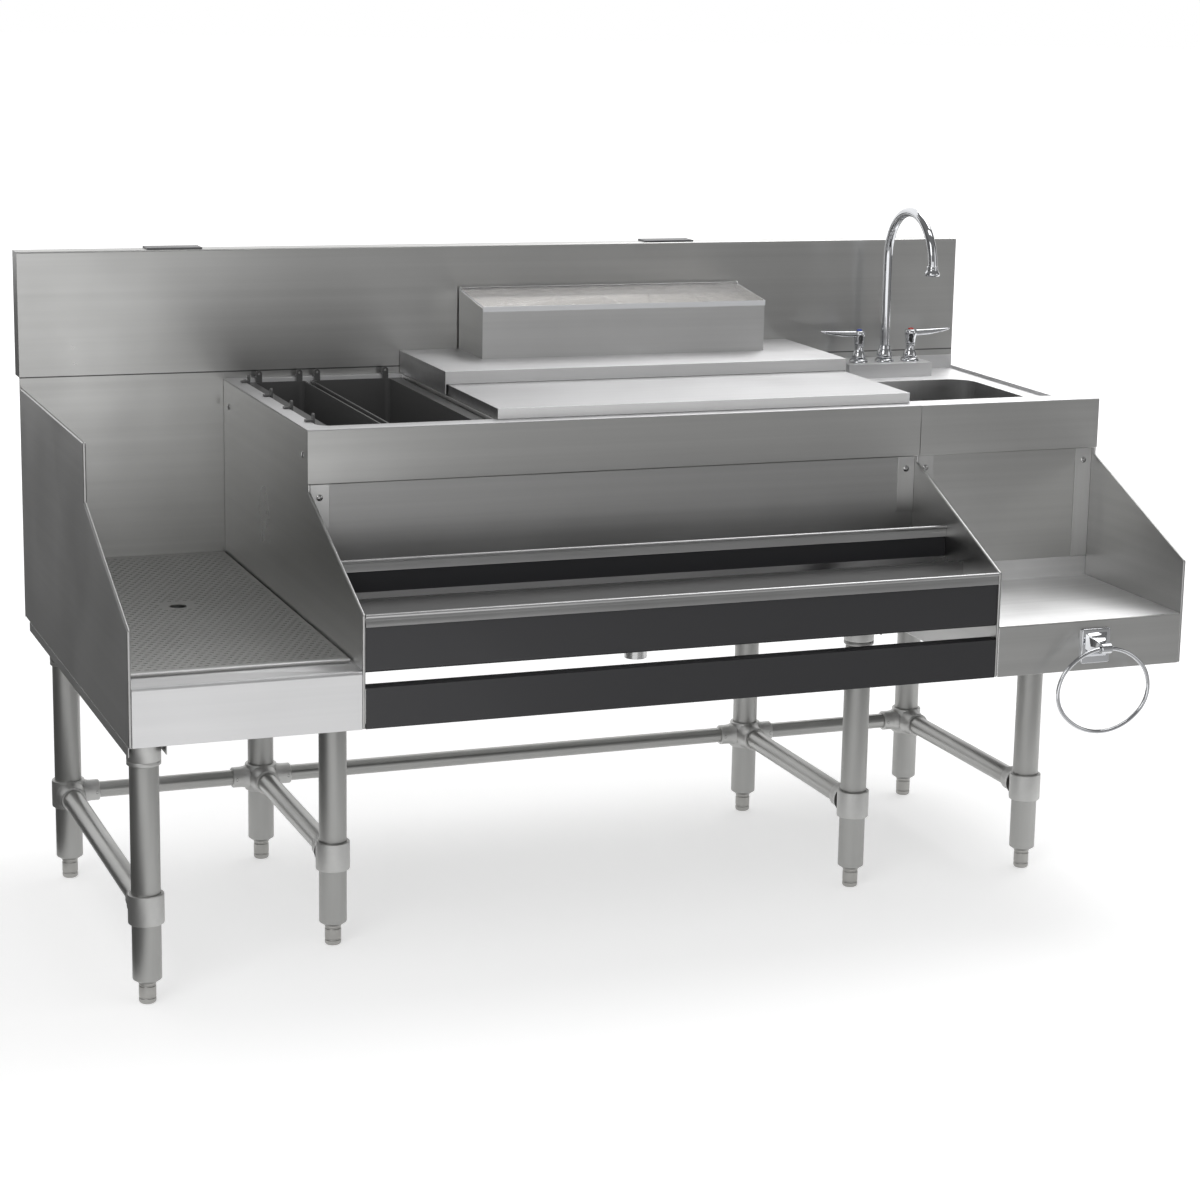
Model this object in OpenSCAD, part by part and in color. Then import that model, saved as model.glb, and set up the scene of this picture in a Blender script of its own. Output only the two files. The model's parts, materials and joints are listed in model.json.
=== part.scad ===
// Underbar station: a drainboard, an ice bin with bottle wells and speed rails, and a bar sink with a shelf.
// X runs from the left end to the right end, the front is at -Y, and Z = 0 is the floor.

/* [Main sizes] */
// Width of the drainboard unit at the left
drainboard_w = 330; // [310:1:380]
// Width of the ice bin unit in the middle
ice_unit_w = 1016; // [960:1:1200]
// Width of the sink unit at the right
sink_unit_w = 330; // [326:1:380]
// Height of the work top above the floor
deck_h = 762; // [740:1:800]
// Depth of the work top in front of the splash
top_d = 533; // [520:1:560]
// Reach of the drainboard, rails and shelf in front of the work top
front_reach = 293; // [286:1:320]
// Height of the side panels
body_h = 381; // [376:1:400]
// Thickness of the folded sheet
sheet = 1.5; // [1.2:0.1:2]
// Thickness of the hemmed side panels
panel_t = 5; // [4:0.1:6]

/* [Splash] */
// Rise of the splash above the work top
splash_rise = 212; // [150:1:250]
// Depth of the splash box
splash_t = 38; // [30:1:50]
// Height of the seam of the drainboard's back above the work top
seam_rise = 11; // [8:1:20]
// Width of the hem behind the splash box
splash_hem = 18; // [12:1:24]
// Width of a wall clip
clip_w = 90; // [80:1:110]
// Thickness of a wall clip
clip_t = 3; // [2:0.5:4]
// Length of a wall clip's leg behind the splash
clip_leg = 60; // [50:1:80]
// Distance between the two screw holes of a wall clip
clip_hole_gap = 60; // [40:1:70]
// Radius of a wall clip's screw holes
clip_hole_r = 3; // [2:0.5:4]
// Place of the left wall clip from the left end
clip_left_x = 254; // [150:1:400]
// Distance between the wall clips
clip_gap_x = 864; // [700:1:1000]
// Set back of the wall clips from the splash's front
clip_set_back = 6; // [4:1:12]

/* [Side panels] */
// Height of the fascias
fascia_h = 83; // [75:1:95]
// Depth of a fascia's lower return
fascia_return = 9; // [6:1:9]
// Width of the seam between the two fascias
fascia_seam = 1; // [0.5:0.1:2]
// Drop from the fascia's lower edge to the start of the panels' slope
slope_gap = 10; // [6:1:16]
// Drop from the work top to the panels' front corner
front_corner_drop = 215; // [205:1:225]
// Drop from the work top to the left end panel's top edge
left_panel_drop = 5; // [3:1:10]
// Set back of the front panels behind the fascias
panel_recess = 10; // [10:1:14]
// Width of an upright strip on the front panels
strip_w = 30; // [24:1:36]
// Thickness of an upright strip
strip_t = 2; // [1.5:0.5:3]
// Radius of a panel screw's head
screw_head_r = 5; // [4:0.5:6]
// Height of a panel screw's head
screw_head_h = 2.5; // [2:0.5:4]
// Drop of the strip screws below the work top
strip_screw_drop = 104; // [96:1:120]

/* [Drainboard] */
// Drop from the work top to the drainboard's rim
drainboard_drop = 295; // [285:1:300]
// Width of the drainboard's front rim
rim_front = 70; // [60:1:84]
// Width of the drainboard's side and back rims
rim_side = 14; // [10:1:20]
// Depth of the drainboard's recess
recess_d = 22; // [16:1:30]
// Fall of the recess's floor towards its drain
recess_fall = 8; // [4:1:12]
// Height of the lift-out insert's folded edge
insert_h = 5; // [4:0.5:7]
// Side gap of the lift-out insert
insert_gap = 2; // [1:0.5:4]
// Radius of the insert's finger hole
finger_r = 13; // [10:0.5:15]
// Distance of the drain and the finger hole in front of the splash
drainboard_drain_d = 380; // [340:1:420]
// Radius of the drainboard drain's flange
small_flange_r = 26; // [22:0.5:30]
// Radius of the drainboard drain's pipe
small_pipe_r = 10.6; // [9:0.1:12]
// Radius of the hose tail under the drainboard's drain
hose_tail_r = 7; // [6:0.1:8]
// Length of the drainboard drain's pipe below the floor of the recess
small_pipe_l = 110; // [80:1:130]
// Length of the hose tail
hose_tail_l = 70; // [40:1:90]

/* [Ice bin] */
// Width of the ice bin's left rim
ice_rim_left = 25; // [20:1:30]
// Width of the ice bin's right rim
ice_rim_right = 16; // [12:1:20]
// Width of the ice bin's front rim
ice_rim_front = 33; // [30:1:38]
// Width of the ice bin's back rim
ice_rim_back = 15; // [12:1:20]
// Depth of the ice bin
ice_d = 305; // [280:1:305]
// Radius of the ice bin's upright corners
ice_corner_r = 20; // [15:1:30]
// Depth from the work top to the underside of the ice bin's jacket
jacket_h = 327; // [325:1:335]
// Width of the part of the opening that holds the bottle wells
well_bay_w = 275; // [260:1:300]
// Thickness of the divider between the wells and the ice
divider_t = 6; // [4:0.5:8]
// Drop from the work top to the insulation's top
foam_drop = 20; // [12:1:30]
// Distance of the ice bin's drain from the divider
ice_drain_x_off = 300; // [200:1:400]
// Distance of the ice bin's drain in front of the splash
ice_drain_d = 350; // [250:1:380]
// Radius of the ice bin drain's tail
ice_tail_r = 19; // [16:0.5:20]
// Radius of the ice bin drain's flange
ice_flange_r = 38; // [32:0.5:44]
// Drop from the work top to the end of the ice bin drain's tail
ice_tail_drop = 432; // [410:1:450]

/* [Bottle wells] */
// Width of the left bottle well
left_well_w = 106; // [95:1:115]
// Depth of the bottle wells below the work top
well_d = 235; // [180:1:260]
// Wall thickness of the bottle wells
well_wall = 3; // [2:0.5:4]
// Width of the wells' outer lips
well_lip = 18; // [12:1:22]
// Drop from the work top to the wells' top edge
well_drop = 6; // [4:0.5:9]
// Gap round the bottle wells
well_gap = 2; // [1:0.5:3]
// Gap between the two bottle wells
well_between = 10; // [6:1:14]
// Width of a hook
hook_w = 10; // [8:0.5:12]
// Height of a hook above the work top
hook_rise = 13; // [9:0.5:15]
// Thickness of a hook
hook_t = 3; // [2:0.5:3]
// Reach of a hook over the rim
hook_reach = 9; // [6:0.5:9]

/* [Covers] */
// Depth of the raised back cover
back_cover_d = 256; // [240:1:262]
// Height of the raised back cover
back_cover_h = 38; // [34:1:45]
// Height of the back cover's front hem
back_cover_hem = 19; // [12:1:20]
// Height of the sliding front cover
front_cover_h = 13.5; // [10:0.5:14]
// Overlap of the front cover under the back cover
cover_overlap = 12; // [8:1:20]
// Distance of the front cover's edge behind the fascia
cover_set_back = 26; // [20:1:28]
// Overlap of the covers on the rim at the right
cover_rim = 11; // [7:0.5:11.5]
// Side gap between the sliding cover and the back cover
cover_side_gap = 2.8; // [1:0.1:4]
// Gap under the covers
cover_gap = 0.3; // [0.2:0.1:0.5]

/* [Condiment box] */
// Width of the condiment box
box_w = 508; // [460:1:560]
// Depth of the condiment box
box_d = 127; // [115:1:135]
// Height of the condiment box at its front
box_front_h = 84; // [76:1:92]
// Height of the condiment box at its back
box_back_h = 100; // [96:1:112]
// Distance of the condiment box from the back cover's left side
box_x_off = 103; // [90:1:110]
// Gap between the condiment box and the splash
box_splash_gap = 5; // [4:1:8]
// Number of compartments
cup_count = 6; // [4:1:8]
// Wall of the six-part insert
cup_wall = 2; // [1.5:0.5:3]
// Drop of the insert below the box's front edge
cup_drop = 8; // [7:0.5:12]
// Depth of the compartments
cup_d = 66; // [50:1:68]
// Thickness of the hinged cover
lid_t = 3; // [2:0.5:4]
// Overhang of the hinged cover at the front
lid_overhang = 3; // [1:0.5:5]
// Height of the hinged cover's front lip
lid_lip = 9; // [6:0.5:12]
// Radius of the cover's hinge pegs
peg_r = 2.5; // [2:0.1:2.8]

/* [Sink] */
// Drop from the work top to the sink's deck
sink_drop = 25; // [18:1:28]
// Width of the raised ledge in front of the sink
sink_ledge = 45; // [40:1:48]
// Height of the lip at the sink's right end
sink_lip = 6; // [3:1:10]
// Width of the bowl
bowl_w = 254; // [230:1:262]
// Width of the deck in front of the bowl
bowl_front = 8; // [5:1:20]
// Depth of the bowl below the sink's deck
bowl_h = 230; // [200:1:250]
// Radius of the bowl's upright corners
bowl_r = 44; // [30:1:50]
// Width of the deck at the left of the bowl
bowl_left = 40; // [36:1:44]
// Width of the deck at the back of the bowl
bowl_back = 126; // [120:1:128]
// Radius of the sink drain's flange
sink_flange_r = 54; // [50:1:60]
// Radius of the sink drain's cup
sink_cup_r = 41; // [38:0.5:44]
// Depth of the sink drain's cup
sink_cup_h = 46; // [36:1:50]
// Radius of the sink's tailpiece
sink_tail_r = 19; // [16:0.5:20]
// Width of the ring of a drain nut round its bore
nut_ring = 15; // [12:1:18]
// Height of a drain nut
nut_h = 9; // [6:1:12]
// Length of the sink's tailpiece below the cup
sink_tail_l = 75; // [50:1:90]
// Radius of the lift-out strainer
strainer_r = 36; // [32:0.5:37]
// Depth of the lift-out strainer
strainer_h = 30; // [20:1:32]

/* [Faucet] */
// Width of the raised faucet ledge
ledge_w = 163; // [156:1:175]
// Depth of the faucet ledge
ledge_d = 85; // [80:1:95]
// Distance of the faucet in front of the splash
faucet_d = 57; // [54:1:60]
// Distance between the two valves
valve_gap = 102; // [98:1:106]
// Radius of the flange under each valve and the spout
flange_r = 17; // [15:0.5:19]
// Height of these flanges
flange_h = 7; // [5:0.5:9]
// Radius of a valve's hub
hub_r = 11; // [9:0.5:12]
// Height of a handle's hub
hub_h = 24; // [20:0.5:28]
// Height of a valve's fixed bonnet above its flange
bonnet_h = 25; // [20:0.5:30]
// Radius of a valve's stem
stem_r = 5; // [4:0.1:6]
// Reach of a handle's lever
lever_l = 72; // [60:1:80]
// Width of a lever at its hub
lever_w = 15; // [12:0.5:18]
// Thickness of a lever
lever_t = 5; // [4:0.5:7]
// Radius of the spout's tube
spout_r = 8; // [7:0.1:9]
// Wall of the spout's tube
spout_wall = 1.5; // [1:0.1:2]
// Reach of the spout
spout_reach = 172; // [150:1:185]
// Height of the spout's straight riser above the work top
riser_h = 187; // [150:1:210]
// Radius of the spout's nut
spout_nut_r = 14; // [12:0.5:16]
// Height of the spout's nut
spout_nut_h = 22; // [16:0.5:26]
// Radius of the aerator
aerator_r = 13; // [11:0.5:15]
// Height of the aerator
aerator_h = 15; // [12:0.5:18]
// Radius of the supply shanks
shank_r = 10.4; // [9:0.1:11]
// Length of the supply shanks below the faucet's body
shank_l = 72; // [60:1:90]
// Height of the faucet's body
faucet_body_h = 16; // [12:0.5:16]
// Running gap between turning faucet parts, on the radius
turn_gap = 0.05; // [0.02:0.01:0.1]

/* [Rails] */
// Width of a speed rail's trough
rail_w = 124; // [110:1:130]
// Height of a speed rail's trough
rail_h = 106; // [95:1:112]
// Height of the trough's upright front wall
rail_front_h = 50; // [40:1:60]
// Drop of the front rail's back wall below its lip
front_back_drop = 6; // [4:1:10]
// Drop of the rear rail's back wall below its lip
rear_back_drop = 31; // [20:1:40]
// Height of the steel strip on the front rail's back wall
back_strip_h = 30; // [24:1:36]
// Radius of the rolled top of a rail's lip
lip_roll = 3; // [2.5:0.1:3.5]
// Wall of the troughs
rail_wall = 3; // [2:0.5:4]
// Rise of the rear rail above the front rail
rail_step = 40; // [30:1:45]
// Height of a rail's steel lip
lip_h = 18; // [14:1:24]
// Height of the lower rail
lower_rail_h = 60; // [50:1:62]
// Depth of the lower rail
lower_rail_d = 25; // [18:1:35]
// Wall of the lower rail
lower_rail_wall = 2; // [1.5:0.5:3]

/* [Shelf] */
// Drop from the work top to the shelf
shelf_drop = 300; // [296:1:304]
// Height of the shelf's back upstand
shelf_upstand = 32; // [24:1:40]

/* [Towel ring] */
// Width of the towel ring, centre line
ring_w = 162; // [150:1:175]
// Height of the towel ring, centre line
ring_h = 134; // [120:1:145]
// Radius of the ring's round sides, centre line
ring_side_r = 56; // [50:1:58]
// Radius of the ring's wire
ring_wire_r = 3.2; // [2.5:0.1:4]
// Reach of the ring in front of the shelf's apron
ring_reach = 34; // [30:1:40]
// Side of the ring's wall plate
ring_plate_w = 56; // [50:1:62]
// Thickness of the ring's wall plate
ring_plate_t = 5; // [4:0.5:8]
// Shift of the towel ring to the right of the shelf's middle
ring_shift = 8; // [0:1:16]
// Radius of the knuckle that holds the ring
knuckle_r = 8; // [7:0.5:9]
// Length of the knuckle
knuckle_l = 18; // [14:1:22]
// Radial gap between the ring and the knuckle
knuckle_gap = 0.9; // [0.8:0.1:1.2]
// Distance of the ring's pivot above the apron's lower edge
ring_pivot_h = 42; // [38:1:50]

/* [Legs] */
// Outer radius of the leg tubes
leg_r = 20.65; // [19:0.05:21]
// Wall of the leg tubes
leg_wall = 1.5; // [1.2:0.1:2]
// Height of the leg tubes' lower ends above the floor
leg_z = 36; // [32:1:42]
// Distance of the left legs from the left end
left_leg_x = 27; // [27:1:34]
// Distance of the second legs to the right of the ice bin unit's left side
second_leg_off = 7; // [0:1:12]
// Distance of the third legs to the left of the ice bin unit's right side
third_leg_off = 151; // [120:1:180]
// Distance of the right legs from the right end
right_leg_off = 167; // [150:1:180]
// Distance of the front left leg behind the drainboard's front
front_leg_inset = 33; // [30:1:45]
// Distance of the middle front legs in front of the fascia
middle_leg_reach = 109; // [90:1:125]
// Distance of the back legs in front of the splash
back_leg_d = 204; // [180:1:215]
// Outer radius of the leg sockets
socket_r = 24; // [23:0.5:26]
// Height of the leg sockets
socket_h = 32; // [26:1:36]
// Width of the leg channels
channel_w = 54; // [53:1:60]
// Height of the leg channels
channel_h = 22; // [16:1:24]
// Distance of the left channel's rear end from the splash
channel_back = 40; // [20:1:60]
// Height of the braces above the floor
brace_z = 140; // [120:1:170]
// Outer radius of the braces that run from front to back
side_brace_r = 15.9; // [14:0.1:17]
// Outer radius of the braces that run along the back
rear_brace_r = 12.7; // [11:0.1:14]
// Wall of the braces
brace_wall = 1.5; // [1.2:0.1:2]
// Outer radius of the brace fittings round the legs
fitting_r = 25.5; // [25:0.5:28]
// Height of the brace fittings
fitting_h = 44; // [40:1:50]
// Reach of a fitting's branch from the leg's axis
branch_l = 48; // [44:1:56]
// Wall of a fitting's branch
branch_wall = 4; // [3:0.5:5]
// Gap between tubes and fittings, on the radius
tube_gap = 0.15; // [0.1:0.05:0.3]
// Radius of a set screw's head
set_screw_r = 4; // [3:0.5:5]
// Height of a set screw's head
set_screw_h = 2; // [1:0.5:3]
// Radius of the bullet feet
foot_r = 12.25; // [11:0.25:14]
// Rounding at the bottom of the bullet feet
foot_round = 4; // [2:0.5:6]
// Radius of the feet's screws
foot_screw_r = 8; // [7:0.25:9]
// Length of the feet's screws
foot_screw_l = 60; // [50:1:70]
// Height of the threaded bush in each leg
bush_h = 20; // [15:1:25]
// Height of the bush's collar under the leg
bush_collar_h = 4; // [3:0.5:5]

/* [Hidden] */
$fn = 64;
cut = 1;
seat_gap = 0.3;

// Places along X
left_x = drainboard_w;
right_x = left_x + ice_unit_w;
total_w = right_x + sink_unit_w;
left_in = left_x + panel_t;
right_in = right_x - panel_t;
end_in = total_w - panel_t;

// Places along Y
front_d = top_d + front_reach;
recess_y = -(top_d - panel_recess);
front_y = -(front_d + ring_reach + knuckle_r);
back_y = splash_t + clip_t;
y_shift = -(front_y + back_y) / 2;

// Heights
splash_top = deck_h + splash_rise;
seam_z = deck_h + seam_rise;
fascia_z = deck_h - fascia_h;
slope_z = fascia_z - slope_gap;
corner_z = deck_h - front_corner_drop;
rim_z = deck_h - drainboard_drop;
shelf_z = deck_h - shelf_drop;
body_z = deck_h - body_h;
jacket_z = deck_h - jacket_h;
sink_z = deck_h - sink_drop;
rail_top_front = corner_z;
rail_top_rear = corner_z + rail_step;
rear_rail_y = recess_y - rail_w;

// A box from its lowest to its highest corner
module slab(x0, x1, y0, y1, z0, z1) {
    translate([x0, y0, z0])
        cube([x1 - x0, y1 - y0, z1 - z0]);
}

// An outline in Y and Z carried along X
module along_x(x0, x1) {
    translate([x0, 0, 0])
        rotate([90, 0, 90])
            linear_extrude(x1 - x0)
                children();
}

// An outline in X and Z carried along Y
module along_y(y0, y1) {
    translate([0, y1, 0])
        rotate([90, 0, 0])
            linear_extrude(y1 - y0)
                children();
}

// A rectangle with round corners
module round_rect(x0, x1, y0, y1, r) {
    translate([x0 + r, y0])
        square([x1 - x0 - 2 * r, y1 - y0]);
    translate([x0, y0 + r])
        square([x1 - x0, y1 - y0 - 2 * r]);
    for (x = [x0 + r, x1 - r], y = [y0 + r, y1 - r])
        translate([x, y])
            circle(r);
}

// A tube or rod that stands on z0
module rod(x, y, z0, z1, r) {
    translate([x, y, z0])
        cylinder(h = z1 - z0, r = r);
}

module pipe(x, y, z0, z1, r, wall) {
    difference() {
        rod(x, y, z0, z1, r);
        rod(x, y, z0 - cut, z1 + cut, r - wall);
    }
}

// The whole object stands centred on the origin
module placed() {
    translate([-total_w / 2, y_shift, 0])
        children();
}

// Splash and backs
module back_splash() {
    color("silver")
        placed() {
            along_y(0, sheet)
                polygon([[0, seam_z], [left_x, seam_z], [left_x, deck_h], [total_w, deck_h],
                    [total_w, splash_top], [0, splash_top]]);
            slab(0, total_w, 0, splash_t, splash_top - sheet, splash_top);
            slab(0, sheet, 0, splash_t, seam_z, splash_top);
            slab(total_w - sheet, total_w, 0, splash_t, deck_h, splash_top);
            slab(0, total_w, splash_t - sheet, splash_t, splash_top - splash_hem, splash_top);
            slab(0, splash_hem, splash_t - sheet, splash_t, seam_z, splash_top);
            slab(total_w - splash_hem, total_w, splash_t - sheet, splash_t, deck_h, splash_top);
        }
}

clip_hole_z = splash_top - clip_leg * 2 / 3;

module wall_clip(x) {
    x0 = x - clip_w / 2;
    x1 = x + clip_w / 2;
    difference() {
        union() {
            slab(x0, x1, clip_set_back, back_y, splash_top, splash_top + clip_t);
            slab(x0, x1, splash_t, back_y, splash_top - clip_leg, splash_top + clip_t);
        }
        for (side = [-1, 1])
            translate([x + side * clip_hole_gap / 2, splash_t - cut, clip_hole_z])
                rotate([-90, 0, 0])
                    cylinder(h = clip_t + 2 * cut, r = clip_hole_r);
    }
}

module wall_clips() {
    color("dimgray")
        placed() {
            wall_clip(clip_left_x);
            wall_clip(clip_left_x + clip_gap_x);
        }
}

module drainboard_back() {
    color("silver")
        placed()
            slab(0, left_x, 0, sheet, body_z, seam_z);
}

module rear_panel() {
    color("silver")
        placed()
            slab(left_x, total_w, 0, sheet, jacket_z, deck_h);
}

// Side panels: one outline, with its own top edge
module side_panel(x, top_z) {
    along_x(x, x + panel_t)
        polygon([[0, body_z], [0, top_z], [sheet - top_d, top_z], [sheet - top_d, slope_z],
            [-front_d, corner_z], [-front_d, body_z]]);
}

module left_end_panel() {
    color("silver")
        placed()
            side_panel(0, deck_h - left_panel_drop);
}

module left_partition() {
    color("silver")
        placed()
            side_panel(left_x, deck_h - sheet);
}

module right_partition() {
    color("silver")
        placed()
            side_panel(right_in, deck_h - sheet);
}

module right_end_panel() {
    color("silver")
        placed()
            side_panel(end_in, sink_z - sheet);
}

// Drainboard
recess_x0 = panel_t + rim_side;
recess_x1 = left_x - rim_side;
recess_y0 = rim_front - front_d;
recess_y1 = -rim_side;
recess_z = rim_z - recess_d;
drain_x = (panel_t + left_x) / 2;
drain_y = -drainboard_drain_d;
drain_pad = small_flange_r + 4 * sheet;

// Section of the recess, grown outwards by one wall
module recess_outline(wall, top) {
    polygon([[recess_y0 - wall, top], [recess_y0 - wall, recess_z - wall],
        [drain_y - drain_pad, recess_z - recess_fall - wall],
        [drain_y + drain_pad, recess_z - recess_fall - wall],
        [recess_y1 + wall, recess_z - wall], [recess_y1 + wall, top]]);
}

module drainboard_pan() {
    color("gainsboro")
        placed()
            difference() {
                union() {
                    slab(panel_t, left_x, -front_d, 0, rim_z - sheet, rim_z);
                    slab(panel_t, left_x, -front_d, sheet - front_d, body_z, rim_z);
                    slab(panel_t, left_x, -front_d, rim_side - front_d, body_z, body_z + sheet);
                    along_x(recess_x0 - sheet, recess_x1 + sheet)
                        recess_outline(sheet, rim_z);
                }
                along_x(recess_x0, recess_x1)
                    recess_outline(0, rim_z + cut);
                rod(drain_x, drain_y, body_z, rim_z, small_pipe_r + seat_gap);
            }
}

drain_floor_z = recess_z - recess_fall;
small_pipe_z = drain_floor_z - small_pipe_l;
hose_tail_z = small_pipe_z - hose_tail_l;

module drainboard_drain() {
    color("gray")
        placed()
            difference() {
                union() {
                    rod(drain_x, drain_y, drain_floor_z, drain_floor_z + sheet, small_flange_r);
                    rod(drain_x, drain_y, small_pipe_z, drain_floor_z, small_pipe_r);
                    rod(drain_x, drain_y, hose_tail_z, small_pipe_z, hose_tail_r);
                }
                rod(drain_x, drain_y, hose_tail_z - cut, rim_z, hose_tail_r - sheet);
            }
}

insert_x0 = panel_t + insert_gap;
insert_x1 = left_x - insert_gap;
insert_y0 = recess_y0 - rim_side;
insert_y1 = -insert_gap;

module drainboard_insert() {
    color("darkgray")
        placed()
            difference() {
                slab(insert_x0, insert_x1, insert_y0, insert_y1, rim_z, rim_z + insert_h);
                slab(insert_x0 + sheet, insert_x1 - sheet, insert_y0 + sheet, insert_y1 - sheet,
                    rim_z - cut, rim_z + insert_h - sheet);
                rod(drain_x, drain_y, rim_z, rim_z + insert_h + cut, finger_r);
            }
}

// Ice bin
ice_x0 = left_x + ice_rim_left;
ice_x1 = right_x - ice_rim_right;
ice_y0 = ice_rim_front - top_d;
ice_y1 = -ice_rim_back;
ice_floor_z = deck_h - ice_d;
divider_x = ice_x0 + well_bay_w;
ice_drain_x = divider_x + ice_drain_x_off;
ice_drain_y = -ice_drain_d;
ice_tail_z = deck_h - ice_tail_drop;
ice_neck_r = ice_tail_r + sheet;

module ice_outline(grow) {
    round_rect(ice_x0 - grow, ice_x1 + grow, ice_y0 - grow, ice_y1 + grow, ice_corner_r + grow);
}

module ice_bin_liner() {
    color("gainsboro")
        placed()
            difference() {
                union() {
                    slab(left_x, right_x, -top_d, 0, deck_h - sheet, deck_h);
                    translate([0, 0, ice_floor_z - sheet])
                        linear_extrude(ice_d)
                            ice_outline(sheet);
                }
                translate([0, 0, ice_floor_z])
                    linear_extrude(ice_d + cut)
                        ice_outline(0);
                rod(ice_drain_x, ice_drain_y, jacket_z, deck_h, ice_neck_r + seat_gap);
            }
}

module bin_divider() {
    color("lightgray")
        placed()
            slab(divider_x, divider_x + divider_t, ice_y0, ice_y1, ice_floor_z, deck_h);
}

module ice_bin_insulation() {
    color("khaki")
        placed()
            difference() {
                slab(left_in, right_in, recess_y + sheet, 0, jacket_z + sheet, deck_h - foam_drop);
                translate([0, 0, ice_floor_z - sheet])
                    linear_extrude(ice_d + cut)
                        ice_outline(sheet);
                rod(ice_drain_x, ice_drain_y, jacket_z, deck_h, ice_neck_r + seat_gap);
            }
}

module ice_bin_jacket() {
    color("gray")
        placed()
            difference() {
                along_x(left_in, right_in)
                    polygon([[recess_y, jacket_z], [0, jacket_z], [0, jacket_z + sheet],
                        [recess_y + sheet, jacket_z + sheet], [recess_y + sheet, deck_h - sheet],
                        [recess_y, deck_h - sheet]]);
                rod(ice_drain_x, ice_drain_y, jacket_z - cut, deck_h, ice_neck_r + seat_gap);
            }
}

module ice_bin_drain() {
    color("gray")
        placed()
            difference() {
                union() {
                    rod(ice_drain_x, ice_drain_y, ice_floor_z, ice_floor_z + 2 * sheet, ice_flange_r);
                    rod(ice_drain_x, ice_drain_y, jacket_z - nut_h, ice_floor_z + sheet, ice_neck_r);
                    rod(ice_drain_x, ice_drain_y, ice_tail_z, ice_floor_z + sheet, ice_tail_r);
                }
                rod(ice_drain_x, ice_drain_y, ice_tail_z - cut, ice_floor_z + sheet, ice_tail_r - 2 * sheet);
                for (a = [0 : 45 : 315])
                    translate([ice_drain_x, ice_drain_y, 0])
                        rotate([0, 0, a])
                            rod(ice_tail_r * 0.6, 0, ice_floor_z, deck_h, 2 * sheet);
            }
}

// A fascia: a plate with a lower return that ends at the side panels
module fascia(x0, x1) {
    slab(x0, x1, -top_d, sheet - top_d, fascia_z, deck_h - sheet);
    slab(x0 + panel_t, x1 - panel_t, -top_d, fascia_return - top_d, fascia_z, fascia_z + sheet);
}

module ice_bin_fascia() {
    color("silver")
        placed()
            fascia(left_x, right_x - fascia_seam / 2);
}

module sink_fascia() {
    color("silver")
        placed()
            fascia(right_x + fascia_seam / 2, total_w);
}

module sink_front_panel() {
    color("silver")
        placed()
            slab(right_x + sheet, end_in, recess_y, recess_y + sheet, shelf_z - sheet, deck_h - sheet);
}

// Upright strips at both sides of the two front bays, with one screw each
strips = [[left_in, rail_top_rear], [right_in - strip_w, rail_top_rear],
    [right_x, shelf_z + shelf_upstand], [end_in - strip_w, shelf_z + shelf_upstand]];
strip_top = fascia_z - seat_gap;
strip_screw_z = deck_h - strip_screw_drop;

module panel_strips() {
    color("silver")
        placed()
            for (s = strips)
                slab(s[0], s[0] + strip_w, recess_y - strip_t, recess_y, s[1] + seat_gap, strip_top);
}

// A round screw head whose flat back lies at the origin, facing +Z
module screw_head() {
    rotate_extrude()
        polygon([[0, 0], [screw_head_r, 0], [screw_head_r, screw_head_h / 3],
            [screw_head_r * 2 / 3, screw_head_h], [0, screw_head_h]]);
}

side_screw_y = [-ice_rim_back * 2.5, ice_rim_front - top_d - 2 * screw_head_h];
side_screw_z = deck_h - fascia_h / 2;

module panel_screws() {
    color("gray")
        placed() {
            for (s = strips)
                translate([s[0] + strip_w / 2, recess_y - strip_t, strip_screw_z])
                    rotate([90, 0, 0])
                        screw_head();
            for (y = side_screw_y)
                translate([left_x, y, side_screw_z])
                    rotate([0, -90, 0])
                        screw_head();
        }
}

// Bottle wells: open boxes with an outer lip and hooks over the rim
well_top = deck_h - well_drop;
well_z = deck_h - well_d;
well_x0 = ice_x0 + well_gap;
well_x1 = divider_x - well_gap;
well_y0 = ice_y0 + well_gap;
well_y1 = ice_y1 - well_gap;
left_well_x1 = well_x0 + left_well_w;
right_well_x0 = left_well_x1 + well_between;

module well_shell(x0, x1, lip_left, lip_right) {
    difference() {
        union() {
            intersection() {
                slab(x0, x1, well_y0, well_y1, well_top - well_wall, well_top);
                translate([0, 0, well_z])
                    linear_extrude(well_d)
                        ice_outline(-well_gap);
            }
            translate([0, 0, well_z])
                linear_extrude(well_top - well_z)
                    round_rect(x0 + lip_left, x1 - lip_right, well_y0, well_y1, 4 * well_wall);
        }
        translate([0, 0, well_z + well_wall])
            linear_extrude(well_d)
                round_rect(x0 + lip_left + well_wall, x1 - lip_right - well_wall,
                    well_y0 + well_wall, well_y1 - well_wall, 3 * well_wall);
    }
}

// A hook at the origin: it rises from the well's edge and bears on the rim behind it
module well_hook() {
    difference() {
        union() {
            slab(-hook_w / 2, hook_w / 2, -hook_t, 0, well_top - deck_h - well_wall, hook_rise - hook_w / 2);
            along_y(-hook_t, 0)
                translate([0, hook_rise - hook_w / 2])
                    circle(hook_w / 2);
            slab(-hook_w / 2, hook_w / 2, -hook_t, well_gap + hook_reach, seat_gap, seat_gap + hook_t);
        }
        along_y(-hook_t - cut, cut)
            translate([0, hook_rise - hook_w / 2])
                circle(hook_w / 5);
    }
}

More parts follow.
